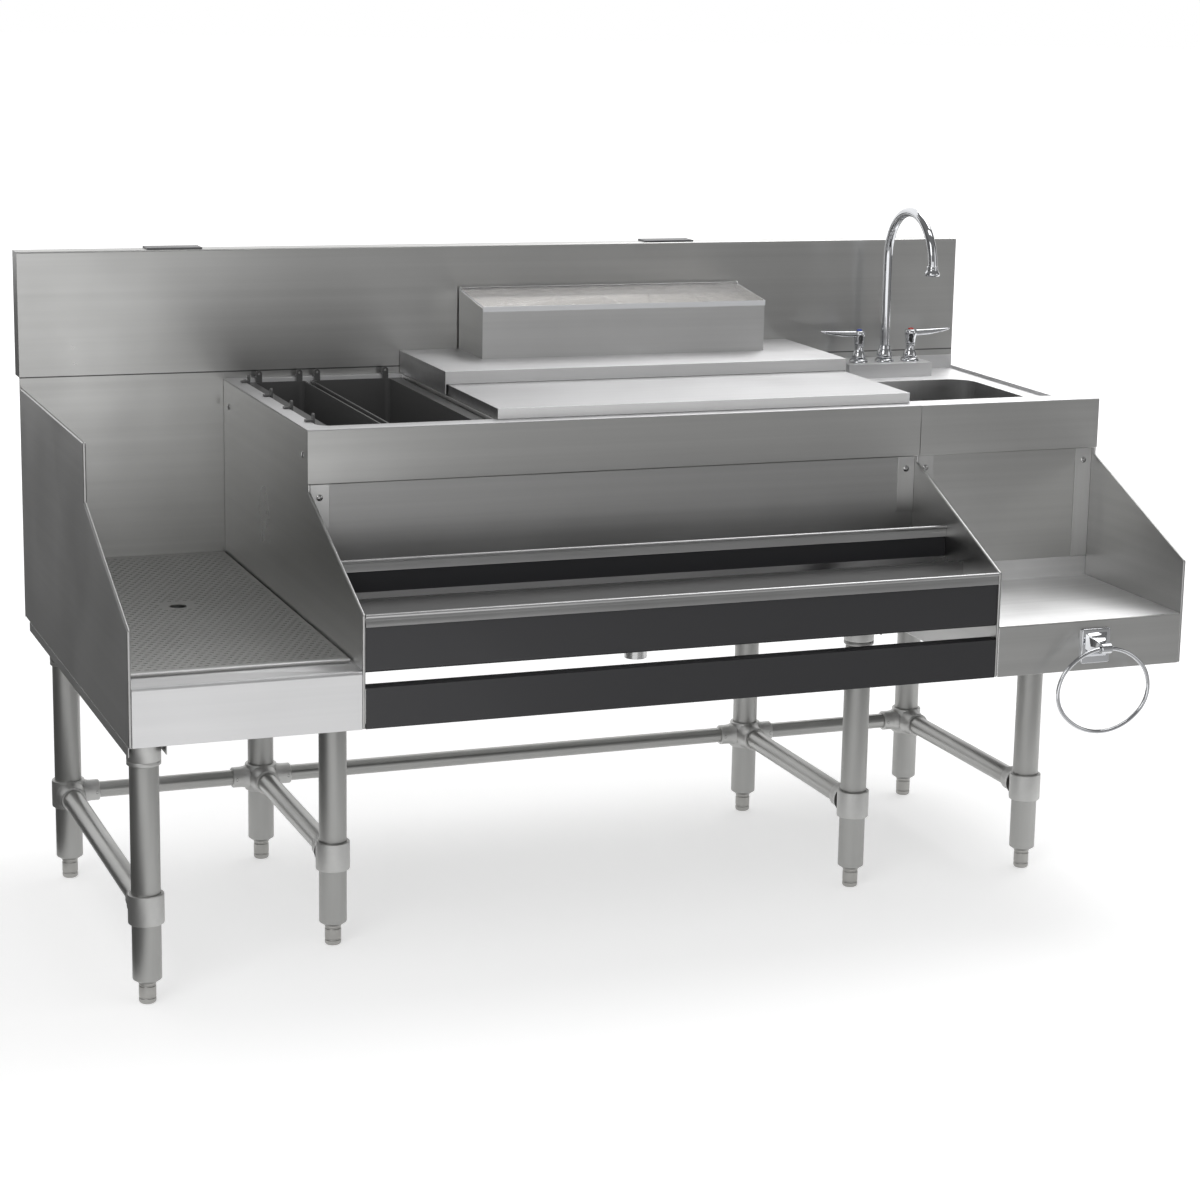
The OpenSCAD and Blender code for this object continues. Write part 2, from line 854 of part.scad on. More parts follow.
module left_bottle_well() {
    color([0.12, 0.12, 0.13])
        placed() {
            well_shell(well_x0, left_well_x1, well_lip, 0);
            for (x = [well_x0 + well_lip + hook_w, left_well_x1 - hook_w])
                translate([x, well_y1, deck_h])
                    well_hook();
            for (y = [well_y1 - 4 * hook_w, well_y0 + 4 * hook_w])
                translate([well_x0, y, deck_h])
                    rotate([0, 0, 90])
                        well_hook();
        }
}

module right_bottle_well() {
    color([0.12, 0.12, 0.13])
        placed() {
            well_shell(right_well_x0, well_x1, 0, well_lip);
            for (x = [right_well_x0 + hook_w, well_x1 - well_lip - hook_w])
                translate([x, well_y1, deck_h])
                    well_hook();
        }
}

// Covers
cover_x0 = divider_x;
cover_x1 = ice_x1 + cover_rim;
cover_z = deck_h + cover_gap;
back_cover_z = deck_h + back_cover_h;
back_cover_y0 = -back_cover_d;
back_cover_y1 = -sheet;
slide_x0 = cover_x0 + sheet + cover_side_gap;
slide_x1 = cover_x1 - sheet - cover_side_gap;
slide_y0 = cover_set_back - top_d;
slide_y1 = back_cover_y0 + cover_overlap;

module back_cover() {
    color("silver")
        placed()
            difference() {
                slab(cover_x0, cover_x1, back_cover_y0, back_cover_y1, cover_z, back_cover_z);
                slab(cover_x0 + sheet, cover_x1 - sheet, back_cover_y0 + sheet, back_cover_y1 - sheet,
                    deck_h, back_cover_z - sheet);
                slab(cover_x0 + sheet, cover_x1 - sheet, back_cover_y0 - cut, back_cover_y0 + 2 * sheet,
                    deck_h, back_cover_z - back_cover_hem);
            }
}

module front_cover() {
    color("silver")
        placed()
            difference() {
                slab(slide_x0, slide_x1, slide_y0, slide_y1, cover_z, cover_z + front_cover_h);
                slab(slide_x0 + sheet, slide_x1 - sheet, slide_y0 + sheet, slide_y1 - sheet,
                    deck_h, cover_z + front_cover_h - sheet);
            }
}

// Condiment box: a steel box with a sloping top, an insert with compartments and a hinged cover
box_x0 = cover_x0 + box_x_off;
box_x1 = box_x0 + box_w;
box_y1 = -box_splash_gap;
box_y0 = box_y1 - box_d;
box_z = back_cover_z;
ear_r = 2 * peg_r;
peg_y = box_y1 - ear_r;
peg_z = lid_z(peg_y) + lid_t / 2;

// Height of the cover's underside, which lies on the box's sloping edge
function lid_z(y) = box_z + box_front_h + seat_gap + (y - box_y0) * (box_back_h - box_front_h) / box_d;

module condiment_box() {
    color("silver")
        placed()
            difference() {
                union() {
                    along_x(box_x0, box_x1)
                        polygon([[box_y0, box_z], [box_y1, box_z], [box_y1, box_z + box_back_h],
                            [box_y0, box_z + box_front_h]]);
                    for (x = [box_x0, box_x1 - sheet])
                        along_x(x, x + sheet)
                            translate([peg_y, peg_z])
                                circle(ear_r);
                }
                slab(box_x0 + sheet, box_x1 - sheet, box_y0 + sheet, box_y1 - sheet,
                    box_z + sheet, box_z + 2 * box_back_h);
                translate([box_x0 - cut, peg_y, peg_z])
                    rotate([0, 90, 0])
                        cylinder(h = box_w + 2 * cut, r = peg_r + turn_gap);
            }
}

cup_x0 = box_x0 + sheet + seat_gap;
cup_x1 = box_x1 - sheet - seat_gap;
cup_y0 = box_y0 + sheet + seat_gap;
cup_y1 = peg_y - ear_r;
cup_top = box_z + box_front_h - cup_drop;
cup_pitch = (cup_x1 - cup_x0 - cup_wall) / cup_count;

module condiment_insert() {
    color("gainsboro")
        placed()
            difference() {
                slab(cup_x0, cup_x1, cup_y0, cup_y1, box_z + sheet, cup_top);
                for (i = [0 : cup_count - 1])
                    slab(cup_x0 + cup_wall + i * cup_pitch, cup_x0 + (i + 1) * cup_pitch,
                        cup_y0 + cup_wall, cup_y1 - cup_wall, cup_top - cup_d, cup_top + cut);
            }
}

lid_x0 = box_x0 + sheet + seat_gap;
lid_x1 = box_x1 - sheet - seat_gap;
lid_front_y = box_y0 - lid_overhang;
lid_notch_y = peg_y - ear_r - cut;

// Section of the flat cover between two places
module lid_plate(y0, y1) {
    polygon([[y0, lid_z(y0)], [y1, lid_z(y1)], [y1, lid_z(y1) + lid_t], [y0, lid_z(y0) + lid_t]]);
}

// The cover is cut back round the box's ears and turns on a peg in each ear
module condiment_cover() {
    color([0.9, 0.92, 0.93, 0.5])
        placed() {
            along_x(box_x0, box_x1)
                lid_plate(lid_front_y, lid_notch_y);
            along_x(box_x0, box_x1)
                polygon([[lid_front_y, lid_z(lid_front_y) + lid_t - lid_lip],
                    [box_y0 - seat_gap, lid_z(lid_front_y) + lid_t - lid_lip],
                    [box_y0 - seat_gap, lid_z(box_y0) + lid_t / 2],
                    [lid_front_y, lid_z(lid_front_y) + lid_t / 2]]);
            along_x(lid_x0, lid_x1)
                lid_plate(lid_notch_y - cut, peg_y);
            translate([lid_x0, peg_y, peg_z])
                rotate([0, 90, 0])
                    cylinder(h = lid_x1 - lid_x0, r = peg_r + cut);
            translate([box_x0, peg_y, peg_z])
                rotate([0, 90, 0])
                    cylinder(h = box_w, r = peg_r);
        }
}

// Sink
bowl_x0 = right_x + bowl_left;
bowl_x1 = bowl_x0 + bowl_w;
ledge_y = sink_ledge - top_d;
bowl_y1 = -bowl_back;
bowl_y0 = ledge_y + bowl_front;
bowl_z = sink_z - bowl_h;
bowl_x = (bowl_x0 + bowl_x1) / 2;
bowl_y = (bowl_y0 + bowl_y1) / 2;
faucet_x = bowl_x - sheet;
faucet_y = -faucet_d;
ledge_x0 = faucet_x - ledge_w / 2;
ledge_x1 = faucet_x + ledge_w / 2;

module sink_deck() {
    color("gainsboro")
        placed()
            difference() {
                union() {
                    slab(right_x, total_w, ledge_y, 0, sink_z - sheet, sink_z);
                    slab(right_x, total_w, -top_d, ledge_y, deck_h - sheet, deck_h);
                    slab(right_x, total_w, ledge_y - sheet, ledge_y, sink_z - sheet, deck_h);
                    slab(right_x, right_x + sheet, sheet - top_d, 0, sink_z - sheet, deck_h);
                    slab(right_x, total_w, -sheet, 0, sink_z - sheet, deck_h);
                    slab(total_w - sheet, total_w, ledge_y, 0, sink_z - sheet, sink_z + sink_lip);
                    slab(total_w - sheet, total_w, sheet - top_d, ledge_y, sink_z - sheet, deck_h);
                    translate([0, 0, bowl_z - sheet])
                        linear_extrude(bowl_h)
                            round_rect(bowl_x0 - sheet, bowl_x1 + sheet, bowl_y0 - sheet,
                                bowl_y1 + sheet, bowl_r + sheet);
                }
                translate([0, 0, bowl_z])
                    linear_extrude(bowl_h + cut)
                        round_rect(bowl_x0, bowl_x1, bowl_y0, bowl_y1, bowl_r);
                rod(bowl_x, bowl_y, bowl_z - sheet - cut, bowl_z + cut, sink_cup_r + seat_gap);
                slab(ledge_x0 + 2 * sheet, ledge_x1 - 2 * sheet, 2 * sheet - ledge_d, -2 * sheet,
                    sink_z - sheet - cut, sink_z + cut);
            }
}

sink_cup_z = bowl_z - sink_cup_h;
sink_tail_z = sink_cup_z - sink_tail_l;

module sink_drain() {
    color("silver")
        placed()
            difference() {
                union() {
                    rod(bowl_x, bowl_y, bowl_z, bowl_z + sheet, sink_flange_r);
                    rod(bowl_x, bowl_y, sink_cup_z, bowl_z, sink_cup_r);
                    rod(bowl_x, bowl_y, sink_tail_z, sink_cup_z, sink_tail_r);
                }
                rod(bowl_x, bowl_y, sink_cup_z + sheet, bowl_z + sheet + cut, sink_cup_r - sheet);
                rod(bowl_x, bowl_y, sink_tail_z - cut, bowl_z, sink_tail_r - sheet);
            }
}

// A basket that hangs by its rim in the drain's cup
module sink_strainer() {
    color("gray")
        placed()
            difference() {
                union() {
                    rod(bowl_x, bowl_y, bowl_z + sheet + seat_gap, bowl_z + 2 * sheet + seat_gap,
                        sink_cup_r + 2 * sheet);
                    rod(bowl_x, bowl_y, bowl_z - strainer_h, bowl_z + 2 * sheet, strainer_r);
                    rod(bowl_x, bowl_y, bowl_z - strainer_h, bowl_z + sheet, 2 * sheet);
                }
                difference() {
                    rod(bowl_x, bowl_y, bowl_z + sheet - strainer_h, bowl_z + sink_cup_h, strainer_r - sheet);
                    rod(bowl_x, bowl_y, bowl_z - strainer_h, bowl_z + 6 * sheet, 2 * sheet);
                }
                for (row = [1, 2], a = [0 : 60 / row : 359])
                    translate([bowl_x, bowl_y, bowl_z - strainer_h - cut])
                        rotate([0, 0, a])
                            translate([strainer_r * row / 3 + sheet, 0, 0])
                                cylinder(h = strainer_h, r = 2 * sheet);
            }
}

// A six-sided nut round a drain, under the sheet that it clamps
module hex_nut(x, y, top_z, bore_r) {
    difference() {
        translate([x, y, top_z - nut_h])
            cylinder(h = nut_h, r = bore_r + nut_ring, $fn = 6);
        rod(x, y, top_z - nut_h - cut, top_z + cut, bore_r + tube_gap);
    }
}

module drain_nuts() {
    color("darkgray")
        placed() {
            hex_nut(drain_x, drain_y, drain_floor_z - sheet, small_pipe_r);
            hex_nut(ice_drain_x, ice_drain_y, jacket_z, ice_neck_r);
            hex_nut(bowl_x, bowl_y, bowl_z - sheet, sink_cup_r);
        }
}

// Faucet
valve_x = [faucet_x - valve_gap / 2, faucet_x + valve_gap / 2];
faucet_body_z = deck_h - sheet - faucet_body_h;
bonnet_z = deck_h + flange_h;
handle_z = bonnet_z + bonnet_h;

module faucet_ledge() {
    color("silver")
        placed()
            difference() {
                slab(ledge_x0, ledge_x1, -ledge_d, -sheet, sink_z, deck_h);
                slab(ledge_x0 + sheet, ledge_x1 - sheet, sheet - ledge_d, -2 * sheet, sink_z - cut,
                    deck_h - sheet);
                for (x = [valve_x[0], faucet_x, valve_x[1]])
                    rod(x, faucet_y, sink_z, deck_h + cut, hub_r + seat_gap);
            }
}

// One casting under the ledge: a cross bar, the bonnets and the spout's socket, and two supply shanks
module faucet_body() {
    color("goldenrod")
        placed()
            difference() {
                union() {
                    slab(valve_x[0], valve_x[1], faucet_y - hub_r, faucet_y + hub_r,
                        faucet_body_z, deck_h - sheet);
                    for (x = valve_x) {
                        rod(x, faucet_y, faucet_body_z, handle_z - seat_gap, hub_r);
                        rod(x, faucet_y, faucet_body_z - shank_l, faucet_body_z, shank_r);
                    }
                    rod(faucet_x, faucet_y, faucet_body_z, bonnet_z, hub_r);
                }
                for (x = valve_x) {
                    rod(x, faucet_y, handle_z - bonnet_h, handle_z, stem_r + turn_gap);
                    rod(x, faucet_y, faucet_body_z - shank_l - cut, faucet_body_z + hub_r / 2, stem_r);
                }
                rod(faucet_x, faucet_y, faucet_body_z + 2 * sheet, bonnet_z + cut, spout_r + turn_gap);
            }
}

module faucet_flanges() {
    color("lightgray")
        placed()
            for (x = [valve_x[0], faucet_x, valve_x[1]])
                difference() {
                    translate([x, faucet_y, deck_h])
                        rotate_extrude()
                            polygon([[0, 0], [flange_r, 0], [flange_r, flange_h / 3],
                                [hub_r + sheet, flange_h], [0, flange_h]]);
                    rod(x, faucet_y, deck_h - cut, bonnet_z + cut, hub_r + tube_gap);
                }
}

riser_z = deck_h + riser_h;
spout_bend_r = spout_reach / 2;
spout_nut_z = bonnet_z + seat_gap;

// A swan-neck tube with its nut and, at its mouth, a flared aerator
module spout() {
    color("lightgray")
        placed() {
            pipe(faucet_x, faucet_y, faucet_body_z + 3 * sheet, riser_z, spout_r, spout_wall);
            pipe(faucet_x, faucet_y, spout_nut_z, spout_nut_z + spout_nut_h, spout_nut_r,
                spout_nut_r - spout_r + spout_wall / 2);
            translate([faucet_x, faucet_y - spout_bend_r, riser_z])
                rotate([90, 0, 90])
                    rotate_extrude(angle = 180)
                        translate([spout_bend_r, 0])
                            difference() {
                                circle(spout_r);
                                circle(spout_r - spout_wall);
                            }
            translate([faucet_x, faucet_y - spout_reach, riser_z - aerator_h])
                rotate_extrude()
                    polygon([[spout_r - spout_wall, 0], [aerator_r, 0], [aerator_r, aerator_h / 3],
                        [spout_r + sheet, aerator_h * 2 / 3], [spout_r + sheet, aerator_h + sheet],
                        [spout_r - spout_wall / 2, aerator_h + sheet],
                        [spout_r - spout_wall / 2, aerator_h / 2], [spout_r - spout_wall, aerator_h / 2]]);
        }
}

// A lever handle at the origin that points to -X, with its stem below
module handle() {
    difference() {
        union() {
            rod(0, 0, 0, hub_h, hub_r);
            hull() {
                rod(0, 0, hub_h - lever_t, hub_h, lever_w / 2);
                rod(-lever_l, 0, hub_h, hub_h + lever_t / 2, lever_w / 3);
            }
        }
        rod(0, 0, -cut, lever_t, stem_r);
    }
    rod(0, 0, -bonnet_h + 2 * sheet, lever_t + cut, stem_r);
}

module left_handle() {
    color("lightgray")
        placed()
            translate([valve_x[0], faucet_y, handle_z])
                handle();
}

module right_handle() {
    color("lightgray")
        placed()
            translate([valve_x[1], faucet_y, handle_z])
                rotate([0, 0, 180])
                    handle();
}

// Speed rails
// Section of a trough: its front wall hangs behind the lip, and its floor falls to the back wall
module trough_section(back_drop) {
    wall_y = 2 * sheet;
    difference() {
        polygon([[wall_y, -2 * lip_roll], [wall_y, -rail_front_h], [rail_w, -rail_h], [rail_w, -back_drop],
            [rail_w - rail_wall, -back_drop], [rail_w - rail_wall, -2 * lip_roll]]);
        polygon([[wall_y + rail_wall, cut], [wall_y + rail_wall, rail_wall / 2 - rail_front_h],
            [rail_w - rail_wall, rail_wall - rail_h], [rail_w - rail_wall, cut]]);
    }
}

// Section of a steel lip: a rolled top, a flat leg and a flared lower edge
module lip_section() {
    translate([lip_roll, -lip_roll])
        circle(lip_roll);
    translate([sheet, 2 * sheet - lip_h])
        square([sheet, lip_h - 2 * sheet - lip_roll]);
    polygon([[0, -lip_h], [2 * sheet, -lip_h], [2 * sheet, 2 * sheet - lip_h], [sheet, 2 * sheet - lip_h]]);
}

module rear_rail() {
    color([0.13, 0.13, 0.14])
        placed()
            along_x(left_in, right_in)
                translate([rear_rail_y, rail_top_rear])
                    trough_section(rear_back_drop);
}

module front_rail() {
    color([0.13, 0.13, 0.14])
        placed()
            along_x(left_in, right_in)
                translate([-front_d, rail_top_front])
                    trough_section(front_back_drop);
}

back_strip_y = rail_w - rail_wall - front_d;

module rail_lips() {
    color("silver")
        placed() {
            along_x(left_in, right_in)
                translate([rear_rail_y, rail_top_rear])
                    lip_section();
            along_x(left_in, right_in)
                translate([-front_d, rail_top_front])
                    lip_section();
            slab(left_in, right_in, back_strip_y - sheet, back_strip_y,
                rail_top_front - front_back_drop - back_strip_h, rail_top_front - front_back_drop);
        }
}

module lower_rail() {
    color([0.13, 0.13, 0.14])
        placed()
            difference() {
                slab(left_in, right_in, -front_d, lower_rail_d - front_d, body_z, body_z + lower_rail_h);
                slab(left_in - cut, right_in + cut, lower_rail_wall - front_d, front_d,
                    body_z + lower_rail_wall, body_z + lower_rail_h - lower_rail_wall);
            }
}

// Shelf under the sink's front, with its apron and back upstand
module shelf() {
    color("gainsboro")
        placed()
            along_x(right_x, end_in)
                polygon([[-front_d, body_z], [sheet - front_d, body_z], [sheet - front_d, shelf_z - sheet],
                    [recess_y, shelf_z - sheet], [recess_y, shelf_z + shelf_upstand],
                    [recess_y - sheet, shelf_z + shelf_upstand], [recess_y - sheet, shelf_z],
                    [-front_d, shelf_z]]);
}

// Towel ring: an oval of four arcs that hangs in a knuckle
ring_x = (right_x + end_in) / 2 + ring_shift;
ring_y = -(front_d + ring_reach);
ring_pivot_z = body_z + ring_pivot_h;
ring_side_off = ring_w / 2 - ring_side_r;
ring_flat = ring_h / 2 - ring_side_r;
ring_top_off = (pow(ring_side_off, 2) - pow(ring_flat, 2)) / (2 * ring_flat);
ring_top_r = ring_h / 2 + ring_top_off;
ring_arc = atan(ring_side_off / ring_top_off);

ring_sides = 12;
ring_steps = 14;

// The four arcs as centre, radius, first angle and turn
ring_arcs = [
    [[0, -ring_top_off], ring_top_r, 90 - ring_arc, 2 * ring_arc],
    [[-ring_side_off, 0], ring_side_r, 90 + ring_arc, 180 - 2 * ring_arc],
    [[0, ring_top_off], ring_top_r, 270 - ring_arc, 2 * ring_arc],
    [[ring_side_off, 0], ring_side_r, 270 + ring_arc, 180 - 2 * ring_arc]];

// Points of the wire's section at one angle of an arc
function ring_section(arc, a) = [for (j = [0 : ring_sides - 1])
    let (r = arc[1] + ring_wire_r * cos(360 * j / ring_sides))
    [arc[0][0] + r * cos(a), arc[0][1] + r * sin(a), ring_wire_r * sin(360 * j / ring_sides)]];

ring_points = [for (arc = ring_arcs, i = [0 : ring_steps - 1])
    each ring_section(arc, arc[2] + arc[3] * i / ring_steps)];
ring_count = len(ring_points);
ring_faces = [for (i = [0 : ring_sides : ring_count - 1], j = [0 : ring_sides - 1], half = [0, 1])
    let (k = (j + 1) % ring_sides, next = (i + ring_sides) % ring_count)
    half == 0 ? [i + j, i + k, next + k] : [i + j, next + k, next + j]];

module towel_ring() {
    color("lightgray")
        placed()
            translate([ring_x, ring_y, ring_pivot_z - ring_h / 2])
                rotate([90, 0, 0])
                    polyhedron(ring_points, ring_faces);
}

module towel_ring_bracket() {
    color("lightgray")
        placed()
            difference() {
                union() {
                    along_y(-front_d - ring_plate_t, -front_d)
                        round_rect(ring_x - ring_plate_w / 2, ring_x + ring_plate_w / 2,
                            ring_pivot_z - ring_plate_w / 2, ring_pivot_z + ring_plate_w / 2 - ring_plate_t,
                            ring_plate_t);
                    translate([ring_x, -front_d - ring_plate_t, ring_pivot_z])
                        rotate([90, 0, 0])
                            rotate([0, 0, 45])
                                cylinder(h = ring_reach - ring_plate_t, r1 = ring_plate_w / 2,
                                    r2 = knuckle_r, $fn = 4);
                    translate([ring_x - knuckle_l / 2, ring_y, ring_pivot_z])
                        rotate([0, 90, 0])
                            cylinder(h = knuckle_l, r = knuckle_r);
                }
                translate([ring_x - ring_w / 2, ring_y, ring_pivot_z])
                    rotate([0, 90, 0])
                        cylinder(h = ring_w, r = ring_wire_r + knuckle_gap);
            }
}

// Legs: each row of the table is X, Y and the height of the socket's top
second_x = left_x + second_leg_off;
third_x = right_x - third_leg_off;
fourth_x = total_w - right_leg_off;
drain_leg_y = front_leg_inset - front_d;
middle_leg_y = -(top_d + middle_leg_reach);
back_leg_y = -back_leg_d;
back_legs = [[left_leg_x, back_leg_y, body_z], [second_x, back_leg_y, body_z],
    [third_x, back_leg_y, jacket_z], [fourth_x, back_leg_y, shelf_z - sheet]];
front_legs = [[left_leg_x, drain_leg_y, body_z], [second_x, middle_leg_y, body_z],
    [third_x, middle_leg_y, jacket_z], [fourth_x, middle_leg_y, shelf_z - sheet]];
legs = concat(front_legs, back_legs);

module leg_sockets() {
    color("gray")
        placed()
            for (leg = legs)
                difference() {
                    rod(leg[0], leg[1], leg[2] - socket_h, leg[2] - seat_gap, socket_r);
                    rod(leg[0], leg[1], leg[2] - socket_h - cut, leg[2] - 2 * sheet, leg_r + tube_gap);
                }
}

module leg_tubes() {
    color("lightgray")
        placed()
            for (leg = legs)
                difference() {
                    union() {
                        rod(leg[0], leg[1], leg_z, leg[2] - 2 * sheet - seat_gap, leg_r);
                        translate([leg[0], leg[1], leg_z - bush_collar_h])
                            cylinder(h = bush_collar_h, r1 = foot_r + 2 * leg_wall,
                                r2 = leg_r - leg_wall / 2);
                    }
                    rod(leg[0], leg[1], leg_z + bush_h, leg[2] + cut, leg_r - leg_wall);
                    rod(leg[0], leg[1], 0, leg[2], foot_screw_r + tube_gap);
                }
}

// Inverted channels that carry the sockets
channel_end = socket_r + 2 * sheet;

module channel_y(x, y0, y1, top_z) {
    difference() {
        slab(x - channel_w / 2, x + channel_w / 2, y0, y1, top_z - channel_h, top_z);
        slab(x - channel_w / 2 + sheet, x + channel_w / 2 - sheet, y0 - cut, y1 + cut,
            top_z - channel_h - cut, top_z - sheet);
    }
}

module channel_x(y, x0, x1, top_z) {
    difference() {
        slab(x0, x1, y - channel_w / 2, y + channel_w / 2, top_z - channel_h, top_z);
        slab(x0 - cut, x1 + cut, y - channel_w / 2 + sheet, y + channel_w / 2 - sheet,
            top_z - channel_h - cut, top_z - sheet);
    }
}

module leg_channels() {
    color("darkgray")
        placed()
            difference() {
                union() {
                    channel_y(left_leg_x, drain_leg_y - channel_end, -channel_back, body_z);
                    channel_y(second_x, middle_leg_y - channel_end, back_leg_y + channel_end, body_z);
                    channel_y(third_x, middle_leg_y - channel_end, back_leg_y + channel_end, jacket_z);
                    channel_x(middle_leg_y, right_x, end_in, shelf_z - sheet);
                    channel_x(back_leg_y, right_x, end_in, shelf_z - sheet);
                }
                for (leg = legs)
                    rod(leg[0], leg[1], leg[2] - socket_h, leg[2] + cut, socket_r + tube_gap);
            }
}

// A branch of a fitting, from the leg's axis along +X
module branch(r) {
    translate([0, 0, brace_z])
        rotate([0, 90, 0])
            cylinder(h = branch_l, r = r + branch_wall);
}

// Places of the set screws along a branch: two on a rear brace, one on a side brace
screw_x = (fitting_r + branch_l) / 2;
screw_pitch = (branch_l - fitting_r) / 2;
screw_pair = [screw_x - screw_pitch / 2, screw_x + screw_pitch / 2];

module branch_bore(r) {
    translate([fitting_r, 0, brace_z])
        rotate([0, 90, 0])
            cylinder(h = branch_l, r = r + tube_gap);
}

// Branches of one leg: the turn about Z, the radius of the tube, the turn that brings the set screws to the
// front on a rear brace and to the right on a side brace, and the screws' places
function leg_branches(i) =
    i < 4 ? [[90, side_brace_r, 90, [screw_x]]]
    : concat([[-90, side_brace_r, -90, [screw_x]]],
        i > 4 ? [[180, rear_brace_r, -90, screw_pair]] : [],
        i < 7 ? [[0, rear_brace_r, 90, screw_pair]] : []);

// Puts the children on each set screw's seat round one leg
module at_set_screws(i) {
    for (b = leg_branches(i), x = b[3])
        rotate([0, 0, b[0]])
            translate([x, 0, brace_z])
                rotate([b[2], 0, 0])
                    translate([0, 0, b[1] + branch_wall - set_screw_h / 2])
                        children();
}

module brace_fittings() {
    color("silver")
        placed()
            for (i = [0 : len(legs) - 1])
                translate([legs[i][0], legs[i][1], 0])
                    difference() {
                        union() {
                            rod(0, 0, brace_z - fitting_h / 2, brace_z + fitting_h / 2, fitting_r);
                            for (b = leg_branches(i))
                                rotate([0, 0, b[0]])
                                    branch(b[1]);
                        }
                        rod(0, 0, 0, deck_h, leg_r + tube_gap);
                        for (b = leg_branches(i))
                            rotate([0, 0, b[0]])
                                branch_bore(b[1]);
                        at_set_screws(i)
                            cylinder(h = 2 * set_screw_h, r = set_screw_r + tube_gap);
                    }
}

brace_inset = fitting_r + seat_gap;

module side_braces() {
    color("lightgray")
        placed()
            for (i = [0 : 3])
                translate([back_legs[i][0], back_leg_y - brace_inset, brace_z])
                    rotate([90, 0, 0])
                        difference() {
                            cylinder(h = back_leg_y - front_legs[i][1] - 2 * brace_inset, r = side_brace_r);
                            translate([0, 0, -cut])
                                cylinder(h = front_d, r = side_brace_r - brace_wall);
                        }
}

module rear_braces() {
    color("lightgray")
        placed()
            for (i = [0 : 2])
                translate([back_legs[i][0] + brace_inset, back_leg_y, brace_z])
                    rotate([0, 90, 0])
                        difference() {
                            cylinder(h = back_legs[i + 1][0] - back_legs[i][0] - 2 * brace_inset,
                                r = rear_brace_r);
                            translate([0, 0, -cut])
                                cylinder(h = total_w, r = rear_brace_r - brace_wall);
                        }
}

// Set screws in the branches
module fitting_screws() {
    color("dimgray")
        placed()
            for (i = [0 : len(legs) - 1])
                translate([legs[i][0], legs[i][1], 0])
                    at_set_screws(i)
                        cylinder(h = set_screw_h, r = set_screw_r, $fn = 6);
}

// A bullet foot: its screw runs up into the leg's bush
foot_top = leg_z - bush_collar_h - seat_gap;

module foot(i) {
    color("gray")
        placed()
            translate([legs[i][0], legs[i][1], 0])
                rotate_extrude()
                    union() {
                        polygon([[0, 0], [foot_r - foot_round, 0], [foot_r, foot_round], [foot_r, foot_top],
                            [foot_screw_r, foot_top], [foot_screw_r, foot_top + foot_screw_l],
                            [0, foot_top + foot_screw_l]]);
                        intersection() {
                            translate([foot_r - foot_round, foot_round])
                                circle(foot_round);
                            square([foot_r, foot_top]);
                        }
                    }
}

back_splash();
wall_clips();
drainboard_back();
left_end_panel();
left_partition();
right_partition();
right_end_panel();
drainboard_pan();
drainboard_drain();
ice_bin_liner();
bin_divider();
ice_bin_insulation();
ice_bin_jacket();
rear_panel();
ice_bin_fascia();
sink_fascia();
sink_deck();
sink_drain();
ice_bin_drain();
drain_nuts();
sink_front_panel();
panel_strips();
panel_screws();
rear_rail();
front_rail();
rail_lips();
lower_rail();
shelf();
towel_ring_bracket();
leg_channels();
leg_sockets();
leg_tubes();
brace_fittings();
side_braces();
rear_braces();
fitting_screws();
faucet_body();
faucet_flanges();
faucet_ledge();
drainboard_insert();
left_bottle_well();
right_bottle_well();
front_cover();
back_cover();
condiment_box();
condiment_insert();
condiment_cover();
spout();
left_handle();
right_handle();
towel_ring();
sink_strainer();
foot(0);  // foot_1
foot(1);  // foot_2
foot(2);  // foot_3
foot(3);  // foot_4
foot(4);  // foot_5
foot(5);  // foot_6
foot(6);  // foot_7
foot(7);  // foot_8
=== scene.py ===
"""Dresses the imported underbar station: finer pieces, finishes, studio and camera.

Sizes are in millimetres, counted from the left end (x), the splash's front (y) and the floor (z). Those of the
studio are in metres, in the shared frame.
"""

import json
import math

import bmesh
import bpy
import numpy as np
from mathutils import Matrix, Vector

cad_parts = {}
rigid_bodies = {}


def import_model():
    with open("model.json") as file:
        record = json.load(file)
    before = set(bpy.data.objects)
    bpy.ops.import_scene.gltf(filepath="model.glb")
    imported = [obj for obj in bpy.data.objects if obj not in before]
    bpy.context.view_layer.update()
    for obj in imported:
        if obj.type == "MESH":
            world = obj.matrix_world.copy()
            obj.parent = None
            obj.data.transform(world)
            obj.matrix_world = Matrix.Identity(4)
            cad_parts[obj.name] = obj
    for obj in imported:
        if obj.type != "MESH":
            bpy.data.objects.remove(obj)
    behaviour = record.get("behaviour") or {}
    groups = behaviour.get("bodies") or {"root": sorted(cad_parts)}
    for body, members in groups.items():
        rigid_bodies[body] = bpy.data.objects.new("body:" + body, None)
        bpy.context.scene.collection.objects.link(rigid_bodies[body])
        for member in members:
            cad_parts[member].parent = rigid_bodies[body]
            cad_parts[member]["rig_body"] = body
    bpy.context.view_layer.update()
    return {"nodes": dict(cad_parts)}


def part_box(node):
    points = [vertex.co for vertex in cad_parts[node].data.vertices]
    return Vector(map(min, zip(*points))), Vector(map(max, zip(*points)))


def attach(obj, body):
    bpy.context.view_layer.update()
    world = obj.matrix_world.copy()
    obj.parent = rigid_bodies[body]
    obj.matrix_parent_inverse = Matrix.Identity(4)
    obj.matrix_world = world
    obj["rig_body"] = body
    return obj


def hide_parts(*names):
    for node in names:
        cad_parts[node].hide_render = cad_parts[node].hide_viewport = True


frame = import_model()

ORIGIN = np.array([-838.0, 413.5, 0.0])
X, Y, Z = np.eye(3)

